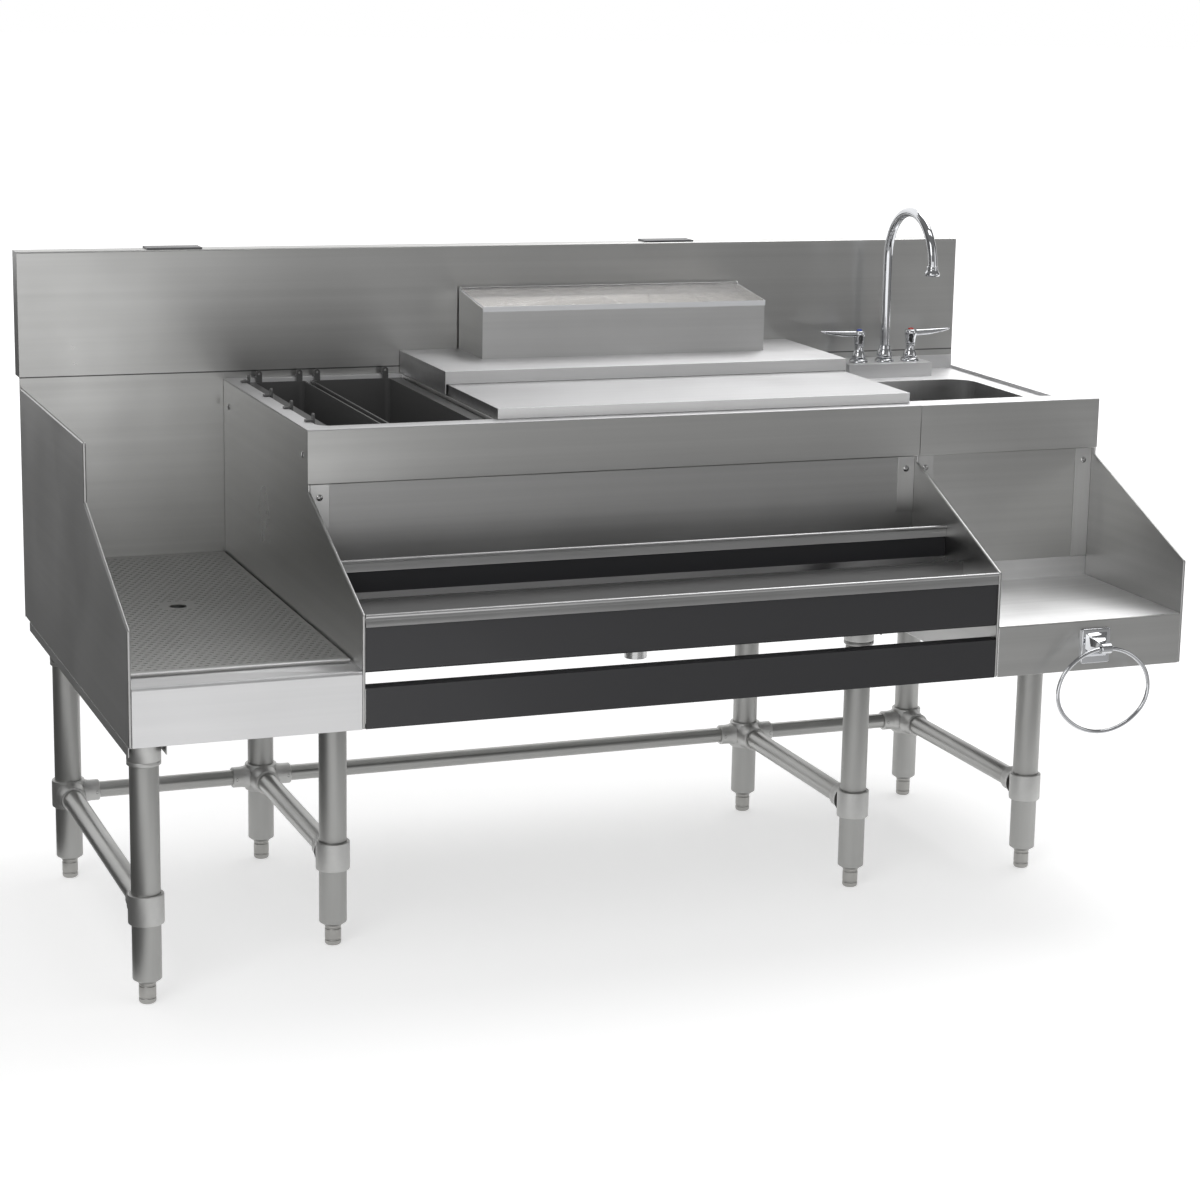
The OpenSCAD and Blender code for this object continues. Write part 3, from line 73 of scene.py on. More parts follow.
# Places and sizes that the pieces share with the solids
SHEET = 1.5
DECK_Z = 762.0
FRONT_Y = -826.0
VALVES_X = (1460.5, 1562.5)
FAUCET = (1511.5, -57.0)
RISER_Z = 949.0
SPOUT_REACH = 172.0
SPOUT_R = 8.0
LEVER_REACH = 76.8
RING_X, RING_Y, RING_PIVOT = 1516.5, -860.0, 423.0
BRACE_Z = 140.0
BRACE_START = 25.8
LEG_R = 20.65
SIDE_BRACE_R, REAR_BRACE_R = 15.9, 12.7
BRACE_WALL = 1.5
FIT_GAP = 0.2
LEGS_X = (27.0, 337.0, 1195.0, 1509.0)
FRONT_LEGS_Y = (-793.0, -642.0, -642.0, -642.0)
BACK_LEG_Y = -204.0
LEG_TOPS = (381.0, 381.0, 435.0, 460.5)
LEGS = [(x, y, top) for ys in (FRONT_LEGS_Y, [BACK_LEG_Y] * 4) for x, y, top in zip(LEGS_X, ys, LEG_TOPS)]


# Meshes

def sweep(rings, wrap=False, caps=True):
    """Skin over rings[i, j]: i runs along the path, j round it.

    Each cell of the grid is one quad, and caps close the ends.
    """
    rings = np.asarray(rings, float)
    n, m = rings.shape[:2]
    i = np.arange(n if wrap else n - 1)[:, None]
    j = np.arange(m)[None, :]
    a, b = i * m + j, i * m + (j + 1) % m
    step = ((i + 1) % n) * m
    quads = np.stack([a, b, step + (j + 1) % m, step + j], -1).reshape(-1, 4)
    faces = [quads]
    if caps and not wrap:
        faces += [np.arange(m)[::-1][None, :], (n - 1) * m + np.arange(m)[None, :]]
    return rings.reshape(-1, 3), faces


def basis(direction):
    """Two unit vectors u and v with u x v = direction."""
    d = np.asarray(direction, float)
    u = X if abs(d[0]) < 0.9 else Y
    u = np.cross(u, d)
    u /= np.linalg.norm(u)
    return u, np.cross(d, u)


def revolve(profile, centre, axis=Z, segments=48, wrap=False):
    """(radius, height) pairs turned round an axis: centre + r cos(t) u + r sin(t) v + h axis."""
    u, v = basis(axis)
    t = np.linspace(0, 2 * np.pi, segments, endpoint=False)
    r, h = np.asarray(profile, float).T
    round_ = np.cos(t)[:, None] * u + np.sin(t)[:, None] * v
    rings = np.asarray(centre) + r[:, None, None] * round_ + h[:, None, None] * np.asarray(axis)
    return sweep(rings, wrap=wrap)


def tube(path, radius, side, segments=20, wrap=False):
    """A round tube along a flat path: path + r (cos(t) side + sin(t) tangent x side)."""
    path = np.asarray(path, float)
    if wrap:
        tangent = np.roll(path, -1, 0) - np.roll(path, 1, 0)
    else:
        tangent = np.gradient(path, axis=0)
    tangent /= np.linalg.norm(tangent, axis=1)[:, None]
    v = np.cross(tangent, side)
    t = np.linspace(0, 2 * np.pi, segments, endpoint=False)
    r = np.broadcast_to(radius, len(path))[:, None, None]
    rings = path[:, None] + r * (np.cos(t)[:, None] * side + np.sin(t)[:, None] * v[:, None])
    return sweep(rings, wrap=wrap)


def rounded(half_w, half_h, corner, steps=6):
    """Outline of a rectangle with round corners about the origin, counter-clockwise."""
    a = np.linspace(0, np.pi / 2, steps)
    quarter = np.stack([np.cos(a), np.sin(a)], -1) * corner
    turns = [(1, 1, 0), (-1, 1, 1), (-1, -1, 2), (1, -1, 3)]
    parts = []
    for sx, sy, k in turns:
        c, s = math.cos(k * math.pi / 2), math.sin(k * math.pi / 2)
        turned = quarter @ np.array([[c, s], [-s, c]])
        parts.append(turned + [sx * (half_w - corner), sy * (half_h - corner)])
    return np.concatenate(parts)


def pad(half_w, half_h, corner, thick, edge, centre, axis):
    """A rounded plate whose outer edge is a quarter circle.

    The outline is inset by edge (1 - cos a) at the height thick - edge + edge sin a.
    """
    u, v = basis(axis)
    a = np.linspace(0, np.pi / 2, 5)
    insets = np.concatenate([[0], edge * (1 - np.cos(a))])
    heights = np.concatenate([[0], thick - edge + edge * np.sin(a)])
    rings = []
    for inset, height in zip(insets, heights):
        flat = rounded(half_w - inset, half_h - inset, max(corner - inset, 0.2))
        rings.append(np.asarray(centre) + flat[:, :1] * u + flat[:, 1:] * v + height * np.asarray(axis))
    return sweep(rings)


def head(radius, height, axis, centre, recess, rings=10, segments=32):
    """A screw's head as a height over a disc: a low dome, less a recess near the middle.

    The dome is height sqrt(1 - (0.94 r / radius)^2). The recess takes half of the height away, along
    two crossed bars or within a disc.
    """
    u, v = basis(axis)
    r = np.linspace(0.02, 1, rings)[:, None] * radius
    t = np.linspace(0, 2 * np.pi, segments, endpoint=False)[None, :]
    across, along = r * np.cos(t), r * np.sin(t)
    dome = height * np.sqrt(np.clip(1 - (0.94 * r / radius) ** 2, 0, 1))
    if recess == "cross":
        hollow = (np.minimum(abs(across), abs(along)) < 0.14 * radius) & (r < 0.62 * radius)
    else:
        hollow = r < 0.55 * radius
    height_map = dome * np.ones_like(t) - np.where(hollow, 0.5 * height, 0)
    points = (np.asarray(centre) + across[..., None] * u + along[..., None] * v
              + height_map[..., None] * np.asarray(axis))
    base = np.asarray(centre) + across[-1][:, None] * u + along[-1][:, None] * v
    return sweep(np.concatenate([base[None], points[::-1]]))


def join(shells):
    """One list of points and faces from several closed shells."""
    points, faces, count = [], [], 0
    for p, groups in shells:
        points.append(p)
        faces += [g + count for g in groups]
        count += len(p)
    return np.concatenate(points), faces


def make_piece(name, shell, body, material, replaces=(), sharp=35):
    """Puts points in millimetres and faces into a mesh in the shared frame, and lets it ride on a body."""
    points, groups = shell
    points = (points + ORIGIN) / 1000
    mesh = bpy.data.meshes.new(name)
    mesh.vertices.add(len(points))
    mesh.vertices.foreach_set("co", points.astype(np.float32).ravel())
    corners = np.concatenate([g.ravel() for g in groups]).astype(np.int32)
    sizes = np.concatenate([np.full(len(g), g.shape[1]) for g in groups])
    mesh.loops.add(len(corners))
    mesh.loops.foreach_set("vertex_index", corners)
    mesh.polygons.add(len(sizes))
    mesh.polygons.foreach_set("loop_start", (np.cumsum(sizes) - sizes).astype(np.int32))
    mesh.update(calc_edges=True)
    mesh.validate()
    return finish_piece(name, mesh, body, material, replaces, sharp)


def finish_piece(name, mesh, body, material, replaces, sharp):
    """Smooths a mesh up to the sharp angle and puts it on its body, for the nodes it replaces."""
    mesh.polygons.foreach_set("use_smooth", np.ones(len(mesh.polygons), bool))
    mesh.set_sharp_from_angle(angle=math.radians(sharp))
    mesh.materials.clear()
    mesh.materials.append(material)
    piece = bpy.data.objects.new(name, mesh)
    bpy.context.scene.collection.objects.link(piece)
    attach(piece, body)
    if replaces:
        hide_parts(*replaces)
    return piece


def near(vertex, tests):
    """True if a vertex lies on every plane of tests, such as {"y": -826, "z": 467}, in millimetres."""
    at = np.array(vertex.co) * 1000 - ORIGIN
    return all(abs(at["xyz".index(k)] - value) < 0.05 for k, value in tests.items())


def shift_heights(mesh, shifts):
    """Moves the points at each height z to its new z, in millimetres."""
    points = np.empty((len(mesh.vertices), 3), np.float32)
    mesh.vertices.foreach_get("co", points.ravel())
    for z, new_z in shifts:
        points[np.abs(points[:, 2] * 1000 - z) < 0.05, 2] = new_z / 1000
    mesh.vertices.foreach_set("co", points.ravel())
    mesh.update()


def refined(node, material, bevel, folds=(), shifts=()):
    """A merged copy of a solid's mesh: the named folds get their bend, every other edge a small round.

    Each shift (z, new z) then moves the points at one height to another.
    """
    mesh = frame["nodes"][node].data.copy()
    mesh.name = node + "_sheet"
    bm = bmesh.new()
    bm.from_mesh(mesh)
    bmesh.ops.remove_doubles(bm, verts=bm.verts, dist=2e-6)
    bmesh.ops.dissolve_limit(bm, angle_limit=math.radians(0.5), verts=bm.verts, edges=bm.edges)
    for tests, radius in folds:
        edges = [e for e in bm.edges if all(near(v, tests) for v in e.verts)]
        if edges:
            bmesh.ops.bevel(bm, geom=edges, offset=radius / 1000, offset_type="OFFSET", segments=5,
                            profile=0.5, affect="EDGES", clamp_overlap=False)
    bm.to_mesh(mesh)
    bm.free()
    shift_heights(mesh, shifts)
    body = frame["nodes"][node]["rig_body"]
    piece = finish_piece(node + "_piece", mesh, body, material, [node], 32)
    if bevel:
        cut = piece.modifiers.new("edges", "BEVEL")
        cut.width = bevel / 1000
        cut.segments = 2
        cut.limit_method = "ANGLE"
        cut.angle_limit = math.radians(40)
        cut.harden_normals = True
    return piece


# Finishes

def new_group(name, inputs, outputs):
    """A node group with named inputs (name, type, value) and outputs (name, type)."""
    group = bpy.data.node_groups.new(name, "ShaderNodeTree")
    for label, kind, value in inputs:
        socket = group.interface.new_socket(label, in_out="INPUT", socket_type="NodeSocket" + kind)
        socket.default_value = value
    for label, kind in outputs:
        group.interface.new_socket(label, in_out="OUTPUT", socket_type="NodeSocket" + kind)
    return group, group.nodes.new("NodeGroupInput"), group.nodes.new("NodeGroupOutput")


def add(tree, kind, values=None, **settings):
    """A node with its settings, and with the values of its input sockets."""
    node = tree.nodes.new("ShaderNode" + kind)
    for key, value in settings.items():
        setattr(node, key, value)
    for key, value in (values or {}).items():
        node.inputs[key].default_value = value
    return node


def chain(tree, *links):
    """Links each (output, input) pair."""
    for source, target in links:
        tree.links.new(source, target)


def grain_group():
    """Brushed grain: noise stretched along the brushing, a slower streak and soft handling marks."""
    group, given, out = new_group(
        "brushed_grain",
        [("Stretch", "Vector", (4, 1500, 1500)), ("Streaks", "Float", 0.06), ("Marks", "Float", 0.05),
         ("Light", "Color", (0.6, 0.6, 0.6, 1)), ("Roughness", "Float", 0.3)],
        [("Color", "Color"), ("Roughness", "Float"), ("Height", "Float")])
    place = add(group, "TexCoord")
    fine_at = add(group, "VectorMath", operation="MULTIPLY")
    fine = add(group, "TexNoise", {"Scale": 1.0, "Detail": 2.0, "Roughness": 0.6})
    slow_at = add(group, "VectorMath", {1: (0.16, 0.16, 0.16)}, operation="MULTIPLY")
    slow = add(group, "TexNoise", {"Scale": 1.0, "Detail": 3.0, "Roughness": 0.55})
    marks = add(group, "TexNoise", {"Scale": 5.0, "Detail": 4.0, "Roughness": 0.6})
    chain(group, (place.outputs["Object"], fine_at.inputs[0]), (given.outputs["Stretch"], fine_at.inputs[1]),
          (fine_at.outputs[0], fine.inputs["Vector"]), (fine_at.outputs[0], slow_at.inputs[0]),
          (slow_at.outputs[0], slow.inputs["Vector"]), (place.outputs["Object"], marks.inputs["Vector"]))
    streak = centred(group, slow.outputs["Fac"], given.outputs["Streaks"])
    smudge = centred(group, marks.outputs["Fac"], given.outputs["Marks"])
    total = add(group, "Math", operation="ADD")
    level = add(group, "Math", {1: 1.0}, operation="ADD")
    shade = add(group, "VectorMath", operation="SCALE")
    chain(group, (streak, total.inputs[0]), (smudge, total.inputs[1]), (total.outputs[0], level.inputs[0]),
          (given.outputs["Light"], shade.inputs[0]), (level.outputs[0], shade.inputs["Scale"]),
          (shade.outputs[0], out.inputs["Color"]), (fine.outputs["Fac"], out.inputs["Height"]))
    rough_step = add(group, "Math", {1: 1.6}, operation="MULTIPLY")
    rough = add(group, "Math", operation="ADD")
    chain(group, (smudge, rough_step.inputs[0]), (rough_step.outputs[0], rough.inputs[0]),
          (given.outputs["Roughness"], rough.inputs[1]), (rough.outputs[0], out.inputs["Roughness"]))
    return group


def seam_group():
    """A dark joint line at one height.

    With q = |z - height| / half width, the mask is the depth for q < 1 and falls to 0 at q = 2. The colour
    is scaled by 1 - mask.
    """
    group, given, out = new_group(
        "joint_line",
        [("Color", "Color", (0.5, 0.5, 0.5, 1)), ("Height", "Float", 0.773),
         ("Half Width", "Float", 0.0007), ("Depth", "Float", 0.75)],
        [("Color", "Color"), ("Mask", "Float")])
    place = add(group, "TexCoord")
    split = add(group, "SeparateXYZ")
    away = add(group, "Math", operation="SUBTRACT")
    size = add(group, "Math", operation="ABSOLUTE")
    ratio = add(group, "Math", operation="DIVIDE")
    fade = add(group, "MapRange", {"From Min": 1.0, "From Max": 2.0, "To Min": 1.0, "To Max": 0.0})
    mask = add(group, "Math", operation="MULTIPLY")
    left = add(group, "Math", {0: 1.0}, operation="SUBTRACT")
    shade = add(group, "VectorMath", operation="SCALE")
    chain(group, (place.outputs["Object"], split.inputs[0]), (split.outputs["Z"], away.inputs[0]),
          (given.outputs["Height"], away.inputs[1]), (away.outputs[0], size.inputs[0]),
          (size.outputs[0], ratio.inputs[0]), (given.outputs["Half Width"], ratio.inputs[1]),
          (ratio.outputs[0], fade.inputs["Value"]), (fade.outputs["Result"], mask.inputs[0]),
          (given.outputs["Depth"], mask.inputs[1]), (mask.outputs[0], left.inputs[1]),
          (given.outputs["Color"], shade.inputs[0]), (left.outputs[0], shade.inputs["Scale"]),
          (shade.outputs[0], out.inputs["Color"]), (mask.outputs[0], out.inputs["Mask"]))
    return group


def centred(tree, noise, amount):
    """(noise - 0.5) * 2 * amount"""
    shift = add(tree, "Math", {1: 0.5}, operation="SUBTRACT")
    double = add(tree, "Math", {1: 2.0}, operation="MULTIPLY")
    scaled = add(tree, "Math", operation="MULTIPLY")
    chain(tree, (noise, shift.inputs[0]), (shift.outputs[0], double.inputs[0]),
          (double.outputs[0], scaled.inputs[0]), (amount, scaled.inputs[1]))
    return scaled.outputs[0]


def edge_group():
    """Wear: a mask that is 1 where the surface turns sharply, broken up by noise."""
    group, given, out = new_group(
        "edge_wear",
        [("Width", "Float", 0.0012), ("Base", "Color", (0.05, 0.05, 0.05, 1)),
         ("Worn", "Color", (0.3, 0.3, 0.3, 1)), ("Amount", "Float", 0.7)],
        [("Color", "Color"), ("Mask", "Float")])
    place = add(group, "TexCoord")
    surface = add(group, "NewGeometry")
    soft = add(group, "Bevel", samples=4)
    along = add(group, "VectorMath", operation="DOT_PRODUCT")
    turn = add(group, "MapRange", {"From Min": 0.995, "From Max": 0.9, "To Min": 0.0, "To Max": 1.0})
    noise = add(group, "TexNoise", {"Scale": 90.0, "Detail": 4.0})
    broken = add(group, "MapRange", {"From Min": 0.35, "From Max": 0.65, "To Min": 0.2, "To Max": 1.0})
    mask = add(group, "Math", operation="MULTIPLY")
    share = add(group, "Math", operation="MULTIPLY")
    colour = add(group, "MixRGB")
    chain(group, (given.outputs["Width"], soft.inputs["Radius"]), (soft.outputs["Normal"], along.inputs[0]),
          (surface.outputs["Normal"], along.inputs[1]), (along.outputs["Value"], turn.inputs["Value"]),
          (place.outputs["Object"], noise.inputs["Vector"]), (noise.outputs["Fac"], broken.inputs["Value"]),
          (turn.outputs["Result"], mask.inputs[0]), (broken.outputs["Result"], mask.inputs[1]),
          (mask.outputs[0], share.inputs[0]), (given.outputs["Amount"], share.inputs[1]),
          (share.outputs[0], colour.inputs["Fac"]), (given.outputs["Base"], colour.inputs["Color1"]),
          (given.outputs["Worn"], colour.inputs["Color2"]), (colour.outputs[0], out.inputs["Color"]),
          (share.outputs[0], out.inputs["Mask"]))
    return group


GRAIN = grain_group()
SEAM = seam_group()
WEAR = edge_group()


def new_material(name):
    """A material, its node tree and its Principled shader."""
    material = bpy.data.materials.new(name)
    material.use_nodes = True
    tree = material.node_tree
    return material, tree, tree.nodes["Principled BSDF"]


def place_group(tree, group, **values):
    """Places a node group in a material, with its own values."""
    node = tree.nodes.new("ShaderNodeGroup")
    node.node_tree = group
    for key, value in values.items():
        node.inputs[key].default_value = value
    return node


def steel(name, light, roughness, stretch, streaks=0.09, marks=0.06, depth=2.5e-6, spread=0.0):
    """Stainless steel with a grain: stretch is how fast the grain changes along x, y and z, per metre.

    Across the grain the reflections spread: the tangent lies in the plane of the two fast directions.
    """
    material, tree, surface = new_material(name)
    if spread:
        across = add(tree, "CombineXYZ", {k: float(v > 100) for k, v in zip("XYZ", stretch)})
        surface.inputs["Anisotropic"].default_value = spread
        chain(tree, (across.outputs["Vector"], surface.inputs["Tangent"]))
    grain = place_group(tree, GRAIN, Stretch=stretch, Streaks=streaks, Marks=marks, Roughness=roughness,
                        Light=(*light, 1))
    bump = add(tree, "Bump", {"Strength": 1.0, "Distance": depth})
    surface.inputs["Metallic"].default_value = 1.0
    chain(tree, (grain.outputs["Color"], surface.inputs["Base Color"]),
          (grain.outputs["Roughness"], surface.inputs["Roughness"]),
          (grain.outputs["Height"], bump.inputs["Height"]),
          (bump.outputs["Normal"], surface.inputs["Normal"]))
    return material


def jointed(name, light, roughness, stretch, spread, height):
    """Sheet steel whose joint with the next sheet shows as a dark line."""
    material = steel(name, light, roughness, stretch, spread=spread)
    tree = material.node_tree
    surface = tree.nodes["Principled BSDF"]
    link = surface.inputs["Base Color"].links[0]
    colour = link.from_socket
    tree.links.remove(link)
    line = place_group(tree, SEAM, Height=height)
    chain(tree, (colour, line.inputs["Color"]), (line.outputs["Color"], surface.inputs["Base Color"]))
    return material


def coated(name, base, worn, roughness, coat, speckle, metallic=0.0):
    """Paint or plastic: a base colour with worn edges, fine orange peel and a clear gloss."""
    material, tree, surface = new_material(name)
    wear = place_group(tree, WEAR, Base=(*base, 1), Worn=(*worn, 1))
    place = add(tree, "TexCoord")
    peel = add(tree, "TexNoise", {"Scale": speckle, "Detail": 2.0})
    cloud = add(tree, "TexNoise", {"Scale": 7.0, "Detail": 4.0})
    rough = add(tree, "MapRange", {"To Min": roughness - 0.05, "To Max": roughness + 0.07})
    bump = add(tree, "Bump", {"Strength": 0.35, "Distance": 2e-5})
    surface.inputs["Coat Weight"].default_value = coat
    surface.inputs["Coat Roughness"].default_value = 0.12
    surface.inputs["Metallic"].default_value = metallic
    chain(tree, (place.outputs["Object"], peel.inputs["Vector"]),
          (place.outputs["Object"], cloud.inputs["Vector"]), (cloud.outputs["Fac"], rough.inputs["Value"]),
          (rough.outputs["Result"], surface.inputs["Roughness"]),
          (wear.outputs["Color"], surface.inputs["Base Color"]), (peel.outputs["Fac"], bump.inputs["Height"]),
          (bump.outputs["Normal"], surface.inputs["Normal"]))
    return material


def clear(name, tint, roughness):
    """Clear moulded plastic with faint ripples and scuffs."""
    material, tree, surface = new_material(name)
    place = add(tree, "TexCoord")
    ripple = add(tree, "TexNoise", {"Scale": 18.0, "Detail": 2.0})
    scuff = add(tree, "TexNoise", {"Scale": 60.0, "Detail": 5.0})
    rough = add(tree, "MapRange", {"From Min": 0.4, "From Max": 0.8,
                                   "To Min": roughness, "To Max": roughness + 0.1})
    bump = add(tree, "Bump", {"Strength": 0.2, "Distance": 1e-4})
    surface.inputs["Base Color"].default_value = (*tint, 1)
    surface.inputs["Transmission Weight"].default_value = 1.0
    surface.inputs["IOR"].default_value = 1.46
    chain(tree, (place.outputs["Object"], ripple.inputs["Vector"]),
          (place.outputs["Object"], scuff.inputs["Vector"]), (scuff.outputs["Fac"], rough.inputs["Value"]),
          (rough.outputs["Result"], surface.inputs["Roughness"]),
          (ripple.outputs["Fac"], bump.inputs["Height"]), (bump.outputs["Normal"], surface.inputs["Normal"]))
    return material


ALONG_X = (6, 520, 520)
ALONG_Y = (520, 6, 520)
ALONG_Z = (520, 520, 6)
SHEET_X = steel("sheet_brushed_lengthwise", (0.58, 0.58, 0.57), 0.31, ALONG_X, spread=0.75)
SHEET_Y = steel("sheet_brushed_front_to_back", (0.46, 0.46, 0.455), 0.31, ALONG_Y, spread=0.7)
SHEET_TOP = steel("work_top_steel", (0.66, 0.66, 0.665), 0.42, ALONG_X, 0.06, spread=0.65)
STRIP = steel("upright_strip_steel", (0.58, 0.58, 0.575), 0.40, ALONG_Z, spread=0.5)
APRON = steel("drainboard_pan_steel", (0.76, 0.76, 0.765), 0.42, ALONG_X, 0.05, spread=0.65)
COVER = steel("front_cover_steel", (0.54, 0.54, 0.545), 0.42, ALONG_X, 0.07, spread=0.65)
# Painted highlight: a lighter copy of the sheet steel for the light that falls on the covers' rounded front
# hems
HEM_PAINTED_HIGHLIGHT = steel("cover_hem_painted_highlight", (0.94, 0.94, 0.94), 0.55, ALONG_X, 0.05)
LEDGE = steel("faucet_ledge_steel", (0.88, 0.88, 0.885), 0.48, ALONG_X, spread=0.4)
BOX = steel("condiment_box_steel", (0.80, 0.80, 0.795), 0.38, ALONG_X, spread=0.7)
JACKET = steel("jacket_steel", (0.64, 0.64, 0.635), 0.44, ALONG_X, spread=0.6)
# Painted highlight: near-white steel for the bright line along the insert's rounded front fold
FOLD_PAINTED_HIGHLIGHT = steel("fold_painted_highlight", (0.92, 0.92, 0.92), 0.34, ALONG_X)
DECK = steel("sink_deck_steel", (0.80, 0.80, 0.805), 0.42, ALONG_X, spread=0.6)
# Painted light: a lighter copy of the sheet steel for the overhead light falling on the shelf's top
SHELF_PAINTED_LIGHT = steel("shelf_top_painted_light", (0.92, 0.92, 0.92), 0.55, ALONG_X, spread=0.5)
# Painted shade: a darker copy of the deck steel for inside the sink bowl
BOWL_PAINTED_SHADE = steel("bowl_painted_shade", (0.52, 0.52, 0.52), 0.38, ALONG_Z, spread=0.5)
TUBE = steel("leg_tube_steel", (0.42, 0.42, 0.41), 0.48, (420, 420, 25), 0.09, 0.10, 2.0e-5)
BRACE_X = steel("brace_tube_steel_lengthwise", (0.40, 0.40, 0.39), 0.33, (25, 420, 420), 0.08, 0.09, 2.0e-5)
BRACE_Y = steel("brace_tube_steel_front_to_back", (0.40, 0.40, 0.39), 0.33, (420, 25, 420), 0.08, 0.09,
                2.0e-5)
CAST = steel("cast_fitting_metal", (0.56, 0.56, 0.55), 0.50, (700, 700, 700), 0.05, 0.08, 3.0e-5)
FOOT = steel("bullet_foot_metal", (0.40, 0.395, 0.38), 0.40, (500, 500, 500), 0.08, 0.12, 3.0e-5)
SCREW = steel("screw_steel", (0.55, 0.55, 0.55), 0.22, (900, 900, 900), 0.04, 0.05, 8.0e-6)
CLIP = steel("dark_clip_steel", (0.16, 0.16, 0.165), 0.38, ALONG_X, 0.05, 0.05)
CHROME = steel("polished_chrome", (0.66, 0.67, 0.69), 0.05, (160, 160, 160), 0.01, 0.015, 1.0e-6)
BRASS = steel("faucet_brass", (0.62, 0.45, 0.22), 0.35, (500, 500, 500), 0.06, 0.08, 2.0e-5)
BLACK_COAT = coated("black_rail_coat", (0.024, 0.024, 0.027), (0.10, 0.10, 0.10), 0.42, 0.15, 1500.0)
BLACK_PLASTIC = coated("black_well_plastic", (0.085, 0.085, 0.085), (0.18, 0.18, 0.18), 0.45, 0.25, 900.0)
INSERT_PLASTIC = coated("pale_insert_plastic", (0.84, 0.83, 0.80), (0.88, 0.87, 0.84), 0.35, 0.3, 600.0)
FOAM = coated("poured_foam", (0.72, 0.62, 0.38), (0.78, 0.70, 0.46), 0.85, 0.0, 260.0)
CLEAR = clear("clear_cover_plastic", (0.985, 0.975, 0.985), 0.12)
# Painted highlight: opaque pale plastic for the bright lines along the clear cover's edges
LID_EDGE_PAINTED_HIGHLIGHT = coated("lid_edge_painted_highlight", (0.82, 0.83, 0.85), (0.88, 0.88, 0.90), 0.30, 0.5, 500.0)
RED_INDEX = coated("red_index", (0.55, 0.03, 0.02), (0.6, 0.1, 0.08), 0.3, 0.6, 500.0)
BLUE_INDEX = coated("blue_index", (0.03, 0.07, 0.42), (0.1, 0.15, 0.5), 0.3, 0.6, 500.0)

SPLASH = jointed("splash_steel", (0.60, 0.60, 0.59), 0.31, ALONG_X, 0.75, 0.773)

# Folded sheets and plain solids: node, finish, slot, edge round, folds with their bend radius
PLAIN = [
    ("back_splash", SPLASH, "brushed_stainless", 0.5, [({"y": 0, "z": 974}, 2.5)]),
    ("drainboard_back", SPLASH, "brushed_stainless", 0.3, []),
    ("left_end_panel", SHEET_Y, "brushed_stainless", 2.2, []),
    ("left_partition", SHEET_Y, "brushed_stainless", 2.2, []),
    ("right_partition", SHEET_Y, "brushed_stainless", 2.2, []),
    ("right_end_panel", SHEET_Y, "brushed_stainless", 2.2, []),
    ("drainboard_pan", APRON, "bright_stainless", 0.5, [({"y": -826, "z": 467}, 6.0)]),
    ("drainboard_drain", SCREW, "drain_steel", 0.4, []),
    ("ice_bin_liner", SHEET_TOP, "bright_stainless", 0.5, []),
    ("bin_divider", SHEET_Y, "brushed_stainless", 1.5, []),
    ("ice_bin_jacket", JACKET, "brushed_stainless", 0.5, []),
    ("rear_panel", SHEET_X, "brushed_stainless", 0.3, []),
    ("ice_bin_fascia", SHEET_X, "brushed_stainless", 0.5, [({"y": -533, "z": 679}, 2.0)]),
    ("sink_fascia", SHEET_X, "brushed_stainless", 0.5, [({"y": -533, "z": 679}, 2.0)]),
    ("sink_deck", DECK, "bright_stainless", 0.5, []),
    ("sink_front_panel", SHEET_X, "brushed_stainless", 0.3, []),
    ("panel_strips", STRIP, "brushed_stainless", 0.5, []),
    ("rear_rail", BLACK_COAT, "black_coat", 0.8, []),
    ("lower_rail", BLACK_COAT, "black_coat", 0.8, []),
    ("shelf", SHEET_X, "bright_stainless", 0.5, [({"y": -826, "z": 462}, 3.0)]),
    ("faucet_ledge", LEDGE, "bright_stainless", 1.2, []),
    ("left_bottle_well", BLACK_PLASTIC, "black_plastic", 0.8, []),
    ("right_bottle_well", BLACK_PLASTIC, "black_plastic", 0.8, []),
    ("condiment_box", BOX, "brushed_stainless", 0.5, []),
    ("condiment_insert", INSERT_PLASTIC, "insert_plastic", 0.6, []),
    ("condiment_cover", CLEAR, "clear_plastic", 0.25, []),
    ("wall_clips", CLIP, "dark_steel", 0.8, []),
    ("sink_strainer", SCREW, "drain_steel", 0.3, []),
    ("sink_drain", SCREW, "drain_steel", 0.4, []),
    ("ice_bin_drain", SCREW, "drain_steel", 0.4, []),
    ("drain_nuts", CAST, "cast_fitting", 0.8, []),
]
for node, material, slot, bevel, folds in PLAIN:
    refined(node, material, bevel, folds)

refined("back_cover", SHEET_TOP, 0.5, shifts=[(781.0, 779.3)])
refined("front_cover", COVER, 0.8, shifts=[(775.8, 779.0), (774.3, 777.5)])
refined("leg_channels", SHEET_Y, 0.5, shifts=[(359, 367), (413, 421)])

# Where a piece changes its material: painted highlight on the covers' hems and the lid's edges, the box side,
# painted light on the shelf top, painted shade in the bowl
FRONT_HEM_Y, BACK_HEM_Y = -506.9, -255.9
LID_LEFT, LID_RIGHT, LID_FRONT = 733.1, 1240.9, -131.9
BOX_LEFT = 734.0
SHELF_TOP, SHELF_FRONT = 459.5, -823.5
BOWL_X, BOWL_Y, BOWL_TOP = (1384.0, 1642.0), (-482.0, -124.0), 735.0


def assign(node, material, test):
    """Gives a second material to the faces of a piece whose centres (x, y, z) pass the test."""
    mesh = bpy.data.objects[node + "_piece"].data
    centres = np.empty((len(mesh.polygons), 3), np.float32)
    mesh.polygons.foreach_get("center", centres.ravel())
    chosen = test(*(centres * 1000 - ORIGIN).T)
    mesh.materials.append(material)
    mesh.polygons.foreach_set("material_index", chosen.astype(np.int32))


def inside_bowl(x, y, z):
    """True below the deck sheet and inside the bowl's border."""
    return (z < BOWL_TOP) & (BOWL_X[0] < x) & (x < BOWL_X[1]) & (BOWL_Y[0] < y) & (y < BOWL_Y[1])
